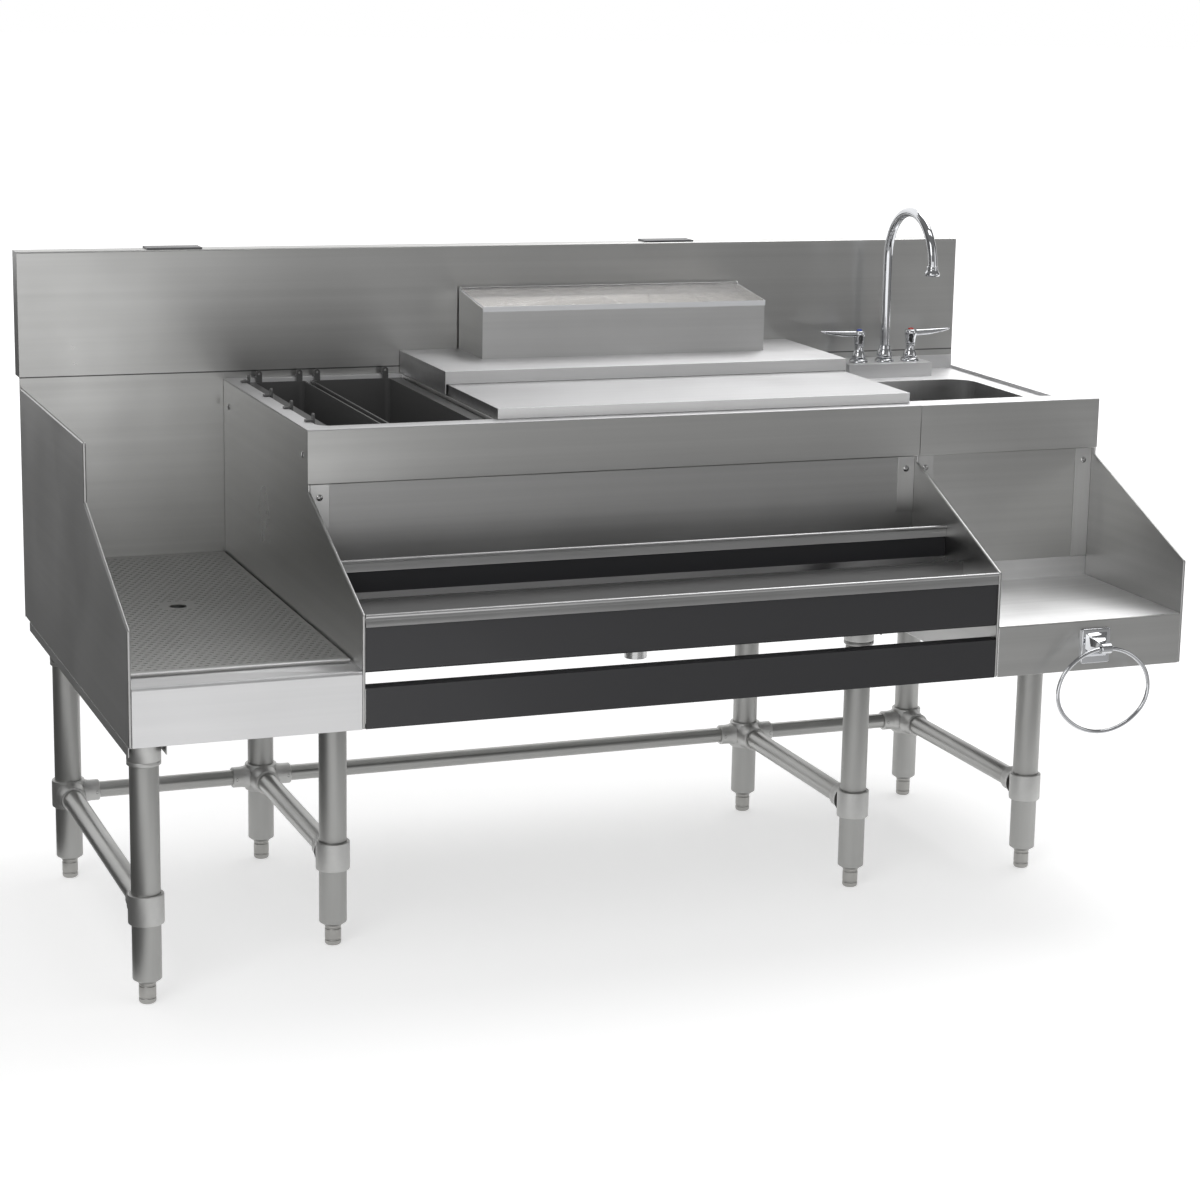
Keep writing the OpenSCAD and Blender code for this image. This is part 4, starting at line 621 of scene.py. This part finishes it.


# The bowl's faces of the deck sheet take the painted shade steel
assign("sink_deck", BOWL_PAINTED_SHADE, inside_bowl)
# The front and back covers' hems take the painted highlight steel
assign("front_cover", HEM_PAINTED_HIGHLIGHT, lambda x, y, z: y < FRONT_HEM_Y)
assign("back_cover", HEM_PAINTED_HIGHLIGHT, lambda x, y, z: y < BACK_HEM_Y)
# The lid's front and side edges take the painted highlight plastic
assign("condiment_cover", LID_EDGE_PAINTED_HIGHLIGHT, lambda x, y, z: (y < LID_FRONT) | (x <= LID_LEFT) | (x >= LID_RIGHT))
assign("condiment_box", SHEET_Y, lambda x, y, z: x < BOX_LEFT)
# The shelf's top faces take the painted light steel
assign("shelf", SHELF_PAINTED_LIGHT, lambda x, y, z: (z > SHELF_TOP) & (y > SHELF_FRONT))
bpy.data.objects["condiment_cover_piece"].visible_shadow = False


def hook_shells(x, y, z):
    """An upright ear with an eye, and the foot that bears on the rim beside it, facing left."""
    a = np.linspace(0, np.pi, 13)
    outline = np.concatenate([np.c_[5 * np.cos(a), 5 * np.sin(a)],
                              [(-5, -6), (-5, -16), (0, -16.5), (5, -16), (5, -6)]])
    turn = np.arctan2(outline[:, 1], outline[:, 0])
    eye = 2.0 * np.c_[np.cos(turn), np.sin(turn)]
    rings = [np.c_[np.full(len(loop), x + dx), y + loop[:, 0], z + loop[:, 1]]
             for dx, loop in ((0, outline), (3, outline), (3, eye), (0, eye))]
    foot = rounded(5, 1.5, 1.2, 3)
    bar = [np.c_[np.full(len(foot), x + dx), y + foot[:, 0], z - 6.2 + foot[:, 1]] for dx in (-11, 1)]
    return [sweep(rings, wrap=True, caps=False), sweep(bar)]


HOOKS_Y = (-205.0, -330.0)
well_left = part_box("left_bottle_well")[0][0] * 1000 - ORIGIN[0]
hooks = [shell for y in HOOKS_Y for shell in hook_shells(well_left + 11, y, DECK_Z + 8)]
make_piece("left_bottle_well_hooks", join(hooks), "left_bottle_well", BLACK_PLASTIC)

foam = frame["nodes"]["ice_bin_insulation"]
foam.data.materials.clear()
foam.data.materials.append(FOAM)


# Bottle rails

def rolled_lip(y, top):
    """Section of a lip in (y, z): a roll of radius 3 on top of a leg that flares at its lower edge."""
    a = np.linspace(-0.25 * np.pi, 1.25 * np.pi, 14)
    roll = np.stack([y + 3 - 3 * np.cos(a), top - 3 + 3 * np.sin(a)], -1)[::-1]
    front = [(y + 0.8, top - 6), (y + 0.4, top - 12), (y - 0.2, top - 15.5), (y - 0.6, top - 17.4),
             (y - 0.1, top - 18), (y + 0.7, top - 17.2), (y + 1.4, top - 14), (y + 1.9, top - 8),
             (y + 3.2, top - 5.2)]
    return np.concatenate([roll, front[:0:-1]])


def extruded(section, x0, x1, steps=2):
    """A closed section in (y, z) carried along x."""
    section = np.asarray(section, float)
    return sweep([np.c_[np.full(len(section), x), section] for x in np.linspace(x0, x1, steps)])


def trough(lip_y, lip_z, depth, back_top):
    """Section of a rail, 3 thick: front wall, bend, sloping floor, bend and back wall."""
    wall, bend, low_bend, drop, reach = 3, 6, 2.5, 79, 118
    front, back = lip_y + wall, lip_y + reach
    low, floor = lip_z - drop, lip_z - depth + bend
    line = [(front, lip_z - 6), (front, low)]
    line += [(front + bend - bend * math.cos(t), low - bend * math.sin(t)) for t in np.linspace(0.25, 1.3, 5)]
    line += [(back, floor - low_bend)]
    line += [(back + bend * math.sin(t), floor - low_bend * math.cos(t)) for t in np.linspace(0.3, 1.5, 4)]
    line += [(back + bend, lip_z - back_top)]
    line = np.array(line)
    along = np.gradient(line, axis=0)
    normal = np.stack([-along[:, 1], along[:, 0]], -1) / np.linalg.norm(along, axis=1)[:, None]
    inner = line + wall * normal
    inner[0] = line[0] + [wall, 0]
    inner[-1] = line[-1] - [wall, 0]
    return np.concatenate([line, inner[::-1]])


RAIL_X = (335.1, 1340.9)
FRONT_LIP_Z = 547.0
REAR_LIP_Y, REAR_LIP_Z = -647.0, 587.0
STRIP_Y, STRIP_BOW, STRIP_THICK = -705.4, 9.0, 1.2
STRIP_Z, STRIP_H = 511, 30
make_piece("front_rail_piece", extruded(trough(FRONT_Y, FRONT_LIP_Z, 113.0, 6.0), *RAIL_X), "station",
           BLACK_COAT, ["front_rail"], sharp=40)
height = np.linspace(0, 1, 12)
strip_y = STRIP_Y - STRIP_BOW * (1 - height) ** 2
strip_z = STRIP_Z + STRIP_H * height
strip = np.concatenate([np.c_[strip_y, strip_z], np.c_[strip_y + STRIP_THICK, strip_z][::-1]])
LIP_STEEL = steel("rail_lip_steel", (0.52, 0.52, 0.52), 0.32, ALONG_X, spread=0.6)
sections = [rolled_lip(FRONT_Y, FRONT_LIP_Z), rolled_lip(REAR_LIP_Y, REAR_LIP_Z), strip]
lips = [extruded(section, *RAIL_X) for section in sections]
make_piece("rail_lips_piece", join(lips), "station", LIP_STEEL, ["rail_lips"], sharp=50)


# Drainboard insert

def insert_shell():
    """A folded plate with staggered slots and a finger hole.

    Cells of 12 by 12 fill the field, every second row shifted by half a cell. A cell is a ring of eight
    points on its border joined to eight points of its slot. The border rings run from the field over
    the rounded fold and back below it.
    """
    x0, x1, y0, y1 = 7.0, 328.0, -770.0, -2.0
    top, under, foot, edge_r = 472.0, 470.5, 467.0, 2
    cell, columns, rows = 12.0, 26, 62
    field_x = (x0 + x1) / 2 - columns * cell / 2
    field_y = (y0 + y1) / 2 - rows * cell / 2
    half = cell / 2
    ring = np.array([(-1, -1), (0, -1), (1, -1), (1, 0), (1, 1), (0, 1), (-1, 1), (-1, 0)]) * half
    slot = np.array([(-2.9, -0.9), (0, -1.35), (2.9, -0.9), (3.5, 0), (2.9, 0.9), (0, 1.35), (-2.9, 0.9),
                     (-3.5, 0)])
    hole, finger_r, hole_cells = np.array([167.5, -380.0]), 13.0, 4
    hole_col = round((hole[0] - field_x) / cell) - hole_cells // 2
    hole_row = round((hole[1] - field_y) / cell) - hole_cells // 2
    hx0, hy0 = field_x + hole_col * cell, field_y + hole_row * cell
    hx1, hy1 = hx0 + hole_cells * cell, hy0 + hole_cells * cell
    centres, plain = [], []
    for row in range(rows):
        cy = field_y + (row + 0.5) * cell
        shift = 0.5 * (row % 2)
        starts = field_x + (np.arange(columns + 1) - shift) * cell
        for start in starts:
            end = start + cell
            inside_hole = hy0 < cy < hy1
            pieces = [(max(start, field_x), min(end, field_x + columns * cell))]
            if inside_hole and end > hx0 and start < hx1:
                pieces = [(start, min(end, hx0)), (max(start, hx1), end)]
            for a, b in pieces:
                if b - a > cell - 0.01:
                    centres.append((a + half, cy))
                elif b - a > 0.01:
                    plain.append((a, b, cy))
    centres = np.array(centres)
    shells = []
    border = centres[:, None] + ring
    edge = centres[:, None] + slot
    count = len(centres)

    def lift(flat, z):
        """Puts flat points at the height z."""
        return np.concatenate([flat, np.full(flat.shape[:-1] + (1,), z)], -1)

    layers = np.stack([lift(border, top), lift(edge, top - 0.1), lift(edge, under), lift(border, under)], 1)
    k = np.arange(8)
    base = np.arange(count)[:, None, None] * 32 + np.arange(3)[None, :, None] * 8
    quads = np.stack([base + k, base + (k + 1) % 8, base + 8 + (k + 1) % 8, base + 8 + k], -1).reshape(-1, 4)
    shells.append((layers.reshape(-1, 3), [quads]))
    for a, b, cy in plain:
        flat = np.array([(a, cy - half), (b, cy - half), (b, cy), (b, cy + half), (a, cy + half), (a, cy)])
        if b - a > half + 0.01:
            flat = np.insert(flat, [1, 4], [[(a + b) / 2, cy - half], [(a + b) / 2, cy + half]], 0)
        six = np.arange(len(flat))[None, :]
        shells.append((np.concatenate([lift(flat, top), lift(flat, under)]), [six, six[:, ::-1] + len(flat)]))

    def border_loop(ax, bx, ay, by):
        """Points every half cell round a rectangle, counter-clockwise."""
        xs, ys = np.arange(ax, bx - 0.01, half), np.arange(ay, by - 0.01, half)
        return np.concatenate([
            np.stack([xs, np.full(len(xs), ay)], -1), np.stack([np.full(len(ys), bx), ys], -1),
            np.stack([ax + bx - xs, np.full(len(xs), by)], -1),
            np.stack([np.full(len(ys), ax), ay + by - ys], -1)])

    square = border_loop(hx0, hx1, hy0, hy1)
    away = square - hole
    circle = hole + finger_r * away / np.linalg.norm(away, axis=1)[:, None]
    shells.append(sweep([lift(square, top), lift(circle, top - 0.15), lift(circle, under),
                         lift(square, under)], caps=False))
    fx1, fy1 = field_x + columns * cell, field_y + rows * cell
    field = border_loop(field_x, fx1, field_y, fy1)
    centre = np.array([(field_x + fx1) / 2, (field_y + fy1) / 2])
    half_field = np.array([fx1 - field_x, fy1 - field_y]) / 2
    half_plate = np.array([x1 - x0, y1 - y0]) / 2
    side = field - centre

    def grown(inset):
        """The field's border moved out to lie inset inside the plate's edge."""
        return centre + side / half_field * (half_plate - inset)

    bend = np.linspace(0, np.pi / 2, 5)
    steps = [(field, under), (grown(SHEET), under), (grown(SHEET), foot), (grown(0), foot)]
    steps += [(grown(edge_r - edge_r * math.cos(a)), top - edge_r + edge_r * math.sin(a)) for a in bend]
    steps += [(field, top)]
    shells.append(sweep([lift(flat, z) for flat, z in steps], caps=False))
    return join(shells)


def welded(piece, distance=1e-5):
    """Merges the points that neighbouring cells share."""
    bm = bmesh.new()
    bm.from_mesh(piece.data)
    bmesh.ops.remove_doubles(bm, verts=bm.verts, dist=distance)
    bm.to_mesh(piece.data)
    bm.free()
    piece.data.set_sharp_from_angle(angle=math.radians(30))


INSERT_STEEL = steel("perforated_insert_steel", (0.62, 0.62, 0.61), 0.38, ALONG_Y, 0.05, 0.06)
welded(make_piece("drainboard_insert_plate", insert_shell(), "drainboard_insert", INSERT_STEEL,
                  ["drainboard_insert"]))

FOLD_R = 3.2
fold = np.linspace(-0.15 * np.pi, 0.95 * np.pi, 10)
fold_section = np.concatenate([
    np.c_[-768.0 - FOLD_R * np.cos(np.pi - fold) - FOLD_R, 469.6 + FOLD_R * np.sin(fold)][::-1],
    [(-766.5, 468.2), (-766.0, 470.0)]])
# The bar along the insert's front fold carries the painted highlight steel
make_piece("drainboard_insert_fold", extruded(fold_section, 8.5, 326.5), "drainboard_insert", FOLD_PAINTED_HIGHLIGHT,
           sharp=60)


# Legs, braces and feet

REAR_SCREWS, SIDE_SCREWS = (31.1, 42.4), (36.75,)


def brace(radius, length, start, axis):
    """A brace tube: its wall's section turned round the axis."""
    inner = radius - BRACE_WALL
    return revolve([(inner, 0), (radius, 0), (radius, length), (inner, length)], start, axis, wrap=True)


tubes, sockets, fittings, screws = [], [], [], []
for i, (x, y, top) in enumerate(LEGS):
    at = (x, y, 0)
    tubes.append(revolve([(8.2, 33), (14.6, 32), (15.6, 32.8), (19.2, 35.4), (20.2, 36), (LEG_R, 36.8),
                          (LEG_R, top - 6), (LEG_R - 1, top - 3.4)], at))
    band = top - 30
    sockets.append(revolve([(LEG_R + FIT_GAP, top - 32), (23.2, top - 32), (24, top - 31), (24, band + 3),
                            (23.4, band + 4.2), (24, band + 5.4), (24, top - 1), (20, top - 0.4),
                            (LEG_R + FIT_GAP, top - 3)], at, wrap=True))
    fittings.append(revolve([(LEG_R + FIT_GAP, 118), (23.8, 118), (25.2, 119), (25.5, 121), (25.5, 159),
                             (25.2, 161), (23.8, 162), (LEG_R + FIT_GAP, 162)], at, wrap=True))
    back = i > 3
    branches = [(-Y if back else Y, SIDE_BRACE_R)]
    if i > 4:
        branches.append((-X, REAR_BRACE_R))
    if 3 < i < 7:
        branches.append((X, REAR_BRACE_R))
    for axis, r in branches:
        arm = r + 4
        profile = [(r + FIT_GAP, 24), (arm + 3.2, 21), (arm + 1.4, 26.5), (arm + 0.3, 31), (arm, 34),
                   (arm, 46.6), (arm - 1.4, 48), (r + FIT_GAP, 48)]
        fittings.append(revolve(profile, (x, y, BRACE_Z), axis, wrap=True))
        outward, places = (-Y, REAR_SCREWS) if abs(axis[0]) > 0.5 else (X, SIDE_SCREWS)
        for reach in places:
            centre = np.array([x, y, BRACE_Z]) + axis * reach + outward * (arm - 1.6)
            screws.append(head(3.6, 1.9, outward, centre, "socket"))
side_tubes = [brace(SIDE_BRACE_R, BACK_LEG_Y - y - 2 * BRACE_START, (x, y + BRACE_START, BRACE_Z), Y)
              for x, y in zip(LEGS_X, FRONT_LEGS_Y)]
rear_tubes = [brace(REAR_BRACE_R, b - a - 2 * BRACE_START, (a + BRACE_START, BACK_LEG_Y, BRACE_Z), X)
              for a, b in zip(LEGS_X[:-1], LEGS_X[1:])]
make_piece("leg_tubes_piece", join(tubes), "station", TUBE, ["leg_tubes"])
make_piece("leg_sockets_piece", join(sockets), "station", CAST, ["leg_sockets"])
make_piece("brace_fittings_piece", join(fittings), "station", CAST, ["brace_fittings"])
make_piece("side_braces_piece", join(side_tubes), "station", BRACE_Y, ["side_braces"])
make_piece("rear_braces_piece", join(rear_tubes), "station", BRACE_X, ["rear_braces"])
SET_SCREW = steel("dark_set_screw", (0.07, 0.07, 0.07), 0.4, (900, 900, 900), 0.05, 0.05, 8.0e-6)
make_piece("fitting_screws_piece", join(screws), "station", SET_SCREW, ["fitting_screws"])

for i, (x, y, top) in enumerate(LEGS):
    a = np.linspace(0.05, np.pi / 2, 5)
    rounding = [(8.25 + 4 * math.sin(t), 4 - 4 * math.cos(t)) for t in a]
    profile = rounding + [(12.25, 7.5), (11.6, 8.3), (11.6, 9.5), (12.25, 10.3), (12.25, 25.0), (11.5, 26.0),
                          (11.5, 27.2), (12.25, 28.2), (12.25, 30.8), (11.4, 31.7), (7.9, 31.8), (7.9, 60)]
    name = f"foot_{i + 1}"
    make_piece(name + "_piece", revolve(profile, (x, y, 0)), name, FOOT, [name])

# Panel screws
strip_screws = [(cx, -525.0, 658.0) for cx in (350.0, 1326.0, 1361.0, 1656.0)]
side_screws = [(330.0, cy, 720.5) for cy in (-37.5, -505.0)]
heads = ([head(5.0, 2.5, -Y, c, "cross") for c in strip_screws]
         + [head(5.0, 2.5, -X, c, "cross") for c in side_screws])
make_piece("panel_screws_piece", join(heads), "station", SCREW, ["panel_screws"])


# Faucet

def upright(profile, x, y=FAUCET[1], segments=48, wrap=False):
    """A profile of (radius, z) turned round an upright axis of the faucet."""
    return revolve(profile, (x, y, 0), Z, segments, wrap)


flange = [(11.3, 762), (16.6, 762), (17, 762.6), (16.9, 764), (16.2, 765.6), (14.6, 767.6), (12.9, 768.6),
          (11.3, 769)]
make_piece("faucet_flanges_piece", join([upright(flange, x, wrap=True) for x in (*VALVES_X, FAUCET[0])]),
           "station", CHROME, ["faucet_flanges"])

bonnet = [(11.2, 744.5), (11.2, 768.2), (12.2, 769.2), (12.4, 771), (12.1, 774), (11.0, 778), (9.2, 781.5),
          (8.3, 783.5), (7.9, 786), (7.9, 791.5), (8.6, 792.4), (8.6, 793.4), (7.0, 793.7)]
shank_z = np.arange(672.5, 742, 1.0)
shank = [(10.4 if k % 2 else 9.7, z) for k, z in enumerate(shank_z)] + [(10.4, 744.5)]
bar_outline = rounded(51, 11, 8)
bar = [np.c_[bar_outline + [FAUCET[0], FAUCET[1]], np.full(len(bar_outline), z)]
       for z in (744.5, 746, 759, 760.4)]
body_shells = [upright(bonnet, x) for x in VALVES_X]
brass_shells = [upright(shank, x, segments=32) for x in VALVES_X] + [sweep(bar)]
body_shells.append(upright([(10.6, 744.5), (10.9, 746), (10.9, 768.6), (8.2, 769)], FAUCET[0]))
make_piece("faucet_bonnets", join(body_shells), "station", CHROME)
make_piece("faucet_casting", join(brass_shells), "station", BRASS, ["faucet_body"])

bend = np.linspace(0, np.pi, 49)
reach = SPOUT_REACH / 2
neck = np.concatenate([
    np.stack([np.full(12, FAUCET[0]), np.full(12, FAUCET[1]), np.linspace(749.5, RISER_Z - 8, 12)], -1),
    np.stack([np.full(49, FAUCET[0]), FAUCET[1] - reach + reach * np.cos(bend),
              RISER_Z + reach * np.sin(bend)], -1),
    [[FAUCET[0], FAUCET[1] - SPOUT_REACH, RISER_Z - 6]]])
nut = [(SPOUT_R + 0.1, 769.4), (13.2, 769.4), (14, 770.2), (14, 774), (13.6, 777.5), (12.4, 781.5),
       (10.8, 784.8), (10.2, 786), (10.2, 789.6), (9.6, 790.9), (SPOUT_R + 0.1, 791.2)]
tip_z = RISER_Z - 15
aerator = [(6.4, tip_z + 2.5), (6.6, tip_z + 0.4), (12.4, tip_z), (13, tip_z + 0.7), (13, tip_z + 4.6),
           (12.4, tip_z + 5.8), (10.6, tip_z + 8.2), (9.7, tip_z + 10), (9.5, tip_z + 12),
           (9.5, tip_z + 16), (9, tip_z + 16.5), (SPOUT_R, tip_z + 16.5)]
spout_shells = [tube(neck, SPOUT_R, X, 32), upright(nut, FAUCET[0], wrap=True),
                upright(aerator, FAUCET[0], FAUCET[1] - SPOUT_REACH)]
make_piece("spout_piece", join(spout_shells), "spout", CHROME, ["spout"], sharp=50)


def handle_shells(x, way):
    """A hub turned from a profile, and a lever of rounded sections along s from 0 to 1.

    A section sits at x + way reach s. Its half width and its lower edge follow tables of s, and its upper
    edge rises by 1.6.
    """
    y = FAUCET[1]
    hub = [(5.0, 772), (5.0, 794.3), (8.4, 794.3), (8.9, 795), (8.9, 800), (9.6, 804), (10.6, 808), (11, 811),
           (11, 815.5), (10.2, 817.6), (8.2, 818.6), (5.4, 818.9)]
    along = np.linspace(0, 1, 25)
    half_w = np.interp(along, [0, 0.12, 0.5, 0.85, 0.95, 1], [7.0, 6.6, 7.2, 6.6, 5.4, 2.2])
    top = 818.3 + 1.6 * along
    low = np.interp(along, [0, 0.2, 0.45, 0.75, 0.95, 1], [806.0, 807.5, 808.5, 812.5, 816.2, 818.0])
    sections = []
    for s, w, hi, lo in zip(along, half_w, top, low):
        flat = rounded(w, (hi - lo) / 2, min(w, (hi - lo) / 2) * 0.75, 5)
        sections.append(np.c_[np.full(len(flat), x + way * LEVER_REACH * s), y + way * flat[:, 0],
                              (hi + lo) / 2 + flat[:, 1]])
    return [upright(hub, x), sweep(sections)]


for name, x, way, index in (("left_handle", VALVES_X[0], -1, BLUE_INDEX),
                            ("right_handle", VALVES_X[1], 1, RED_INDEX)):
    make_piece(name + "_piece", join(handle_shells(x, way)), name, CHROME, [name], sharp=50)
    cap = [(4.9, 818.2), (5.2, 819.2), (4.8, 820.2), (3.4, 821.0), (1.4, 821.4)]
    make_piece(name + "_index", upright(cap, x, segments=24), name, index)


# Towel ring and its bracket

def oval(width, height, side_r, steps=28):
    """Four arcs that meet smoothly: round sides and flatter top and bottom."""
    side = width / 2 - side_r
    flat = height / 2 - side_r
    off = (side ** 2 - flat ** 2) / (2 * flat)
    turn = math.atan2(side, off)
    arcs = [(0, -off, height / 2 + off, np.pi / 2 - turn, 2 * turn),
            (-side, 0, side_r, np.pi / 2 + turn, np.pi - 2 * turn),
            (0, off, height / 2 + off, 1.5 * np.pi - turn, 2 * turn),
            (side, 0, side_r, 1.5 * np.pi + turn, np.pi - 2 * turn)]
    parts = []
    for cx, cz, r, start, sweep_angle in arcs:
        a = start + sweep_angle * np.arange(steps) / steps
        parts.append(np.stack([cx + r * np.cos(a), cz + r * np.sin(a)], -1))
    return np.concatenate(parts)


loop = oval(162, 134, 56)
ring_path = np.c_[RING_X + loop[:, 0], np.full(len(loop), RING_Y), RING_PIVOT - 67 + loop[:, 1]]
make_piece("towel_ring_piece", tube(ring_path, 3.2, Y, 20, wrap=True), "towel_ring", CHROME,
           ["towel_ring"])

plate = pad(28, 25.5, 4, 5, 2.2, (RING_X, FRONT_Y, RING_PIVOT - 2.5), -Y)
along = np.linspace(0, 1, 14)
post = []
for s in along:
    half = 7.2 + 12.0 * (1 - s) ** 2.2
    flat = rounded(half, half, 1.6, 5)
    post.append(np.c_[RING_X + flat[:, 0], np.full(len(flat), FRONT_Y - 4.8 - 27.5 * s),
                      RING_PIVOT + flat[:, 1]])
knuckle = revolve([(4.1, -9), (7.2, -9), (8, -8.2), (8, 8.2), (7.2, 9), (4.1, 9)],
                  (RING_X, RING_Y, RING_PIVOT), X, wrap=True)
make_piece("towel_ring_bracket_piece", join([plate, sweep(post), knuckle]), "station", CHROME,
           ["towel_ring_bracket"], sharp=30)


# Camera at the photograph's place

# The fit: angles in radians, place in millimetres, focal length and centre in pixels of the frame
YAW, PITCH, ROLL = 0.4080106, 0.2128992, 0.0275909
EYE = (-749.568, -4600.808, 1468.389)
PHOTO_SIDE, FOCAL = 1200, 2855.543
CENTRE_U, CENTRE_V = 725.719, 569.876
SENSOR = 36.0


def camera():
    """The camera at the fitted place; the shift puts the fitted centre where it lies in the frame."""
    forward = np.array([math.sin(YAW) * math.cos(PITCH), math.cos(YAW) * math.cos(PITCH), -math.sin(PITCH)])
    right = np.array([math.cos(YAW), -math.sin(YAW), 0.0])
    up = np.cross(right, forward)
    data = bpy.data.cameras.new("camera")
    data.sensor_width = SENSOR
    data.lens = FOCAL * SENSOR / PHOTO_SIDE
    data.shift_x = (PHOTO_SIDE / 2 - CENTRE_U) / PHOTO_SIDE
    data.shift_y = (CENTRE_V - PHOTO_SIDE / 2) / PHOTO_SIDE
    data.clip_start, data.clip_end = 0.05, 100
    eye = bpy.data.objects.new("camera", data)
    bpy.context.scene.collection.objects.link(eye)
    turn = np.eye(4)
    turn[:3, 0] = right * math.cos(ROLL) + up * math.sin(ROLL)
    turn[:3, 1] = -right * math.sin(ROLL) + up * math.cos(ROLL)
    turn[:3, 2] = -forward
    turn[:3, 3] = (np.array(EYE) + ORIGIN) / 1000
    eye.matrix_world = Matrix(turn.tolist())
    bpy.context.scene.camera = eye


# Studio

def seen(tree):
    """1 for camera, glossy and transmission rays, else 0."""
    path = add(tree, "LightPath")
    first = add(tree, "Math", operation="MAXIMUM")
    both = add(tree, "Math", operation="MAXIMUM")
    chain(tree, (path.outputs["Is Camera Ray"], first.inputs[0]),
          (path.outputs["Is Glossy Ray"], first.inputs[1]), (first.outputs[0], both.inputs[0]),
          (path.outputs["Is Transmission Ray"], both.inputs[1]))
    return both.outputs[0]


def surroundings():
    """A world that looks white and lights at 0.55, and the floor.

    The floor's glow is only looked at and lights nothing. It grows from 0.47 at 1.6 m from the middle to
    0.85 at 4.5 m.
    """
    world = bpy.data.worlds.new("studio")
    bpy.context.scene.world = world
    world.use_nodes = True
    tree = world.node_tree
    back = tree.nodes["Background"]
    back.inputs["Color"].default_value = (1, 1, 1, 1)
    level = add(tree, "MapRange", {"To Min": 0.55, "To Max": 1.0})
    chain(tree, (seen(tree), level.inputs["Value"]), (level.outputs["Result"], back.inputs["Strength"]))
    material, tree, surface = new_material("studio_floor")
    surface.inputs["Base Color"].default_value = (0.82, 0.82, 0.82, 1)
    surface.inputs["Roughness"].default_value = 0.9
    surface.inputs["Specular IOR Level"].default_value = 0.0
    place = add(tree, "TexCoord")
    far = add(tree, "VectorMath", operation="LENGTH")
    level = add(tree, "MapRange", {"From Min": 1.6, "From Max": 4.5, "To Min": 0.47, "To Max": 0.85})
    glow = add(tree, "Math", operation="MULTIPLY")
    surface.inputs["Emission Color"].default_value = (1, 1, 1, 1)
    chain(tree, (place.outputs["Object"], far.inputs[0]), (far.outputs["Value"], level.inputs["Value"]),
          (level.outputs["Result"], glow.inputs[1]), (seen(tree), glow.inputs[0]),
          (glow.outputs[0], surface.inputs["Emission Strength"]))
    side = 40
    mesh = bpy.data.meshes.new("studio_floor")
    mesh.from_pydata([(-side, -side, 0), (side, -side, 0), (side, side, 0), (-side, side, 0)], [],
                     [(0, 1, 2, 3)])
    mesh.materials.append(material)
    floor = bpy.data.objects.new("studio_floor", mesh)
    bpy.context.scene.collection.objects.link(floor)


def lamp(name, place, target, size, power):
    """A rectangular lamp at a place, turned to a target, in metres and watts."""
    data = bpy.data.lights.new(name, "AREA")
    data.shape = "RECTANGLE"
    data.size, data.size_y = size
    data.energy = power
    lit = bpy.data.objects.new(name, data)
    bpy.context.scene.collection.objects.link(lit)
    back = np.asarray(place, float) - np.asarray(target, float)
    back /= np.linalg.norm(back)
    u = np.cross(Z, back)
    u /= np.linalg.norm(u)
    turn = np.eye(4)
    turn[:3, 0], turn[:3, 1], turn[:3, 2], turn[:3, 3] = u, np.cross(back, u), back, place
    lit.matrix_world = Matrix(turn.tolist())


def card(name, corners, grey, fade=None):
    """A studio card that only reflections see; fade is (x, x, grey) where it turns to another grey."""
    material = bpy.data.materials.new(name)
    material.use_nodes = True
    tree = material.node_tree
    tree.nodes.clear()
    glow = add(tree, "Emission", {"Color": (grey, grey, grey, 1), "Strength": 1.0})
    out = add(tree, "OutputMaterial")
    chain(tree, (glow.outputs[0], out.inputs["Surface"]))
    if fade:
        place = add(tree, "TexCoord")
        split = add(tree, "SeparateXYZ")
        level = add(tree, "MapRange", {"From Min": fade[0], "From Max": fade[1],
                                       "To Min": 1.0, "To Max": fade[2] / grey})
        chain(tree, (place.outputs["Object"], split.inputs[0]), (split.outputs["X"], level.inputs["Value"]),
              (level.outputs["Result"], glow.inputs["Strength"]))
    mesh = bpy.data.meshes.new(name)
    mesh.from_pydata(corners, [], [(0, 1, 2, 3)])
    mesh.materials.append(material)
    flat = bpy.data.objects.new(name, mesh)
    bpy.context.scene.collection.objects.link(flat)
    flat.visible_camera = flat.visible_diffuse = flat.visible_shadow = flat.visible_transmission = False


camera()
surroundings()
lamp("key_light", (-3.2, -3.4, 3.6), (0, 0, 0.5), (2.4, 2.4), 40)
lamp("top_light", (1.9, 1.1, 3.4), (0.5, 0, 0.6), (2.4, 1.9), 48)
card("grey_floor_right", [(-0.05, -0.6, 0.01), (9, -0.6, 0.01), (12, -14, 0.01), (2.3, -14, 0.01)], 0.52,
     (0.9, 3.2, 0.25))
card("grey_wall_right", [(2.3, -14, 0), (12, -14, 0), (12, -14, 7), (2.3, -14, 7)], 0.3)
card("dark_floor_left", [(-7, -4, 0.01), (-0.87, -0.8, 0.01), (-0.87, 9, 0.01), (-7, 9, 0.01)], 0.11)
card("dark_wall_left", [(-7, -4, 0), (-7, 9, 0), (-7, 9, 6), (-7, -4, 6)], 0.14)
card("dark_wall_right", [(7.5, -3, 0), (7.5, 4, 0), (7.5, 4, 6), (7.5, -3, 6)], 0.16)
card("dark_ceiling", [(-12, -14, 7.5), (12, -14, 7.5), (12, 7, 7.5), (-12, 7, 7.5)], 0.20)
card("dark_wall_front", [(-12, -14.1, 2.4), (12, -14.1, 2.4), (12, -14.1, 7.5), (-12, -14.1, 7.5)], 0.20)
card("softbox_overhead", [(-0.3, -1.7, 4.6), (3.4, -1.7, 4.6), (3.4, -0.9, 4.6), (-0.3, -0.9, 4.6)], 3.0)
card("bright_card_back", [(-2.5, 4.2, 2.0), (6, 4.2, 2.0), (6, 4.2, 6.5), (-2.5, 4.2, 6.5)], 1.2)

scene = bpy.context.scene
scene.view_settings.view_transform = "Standard"
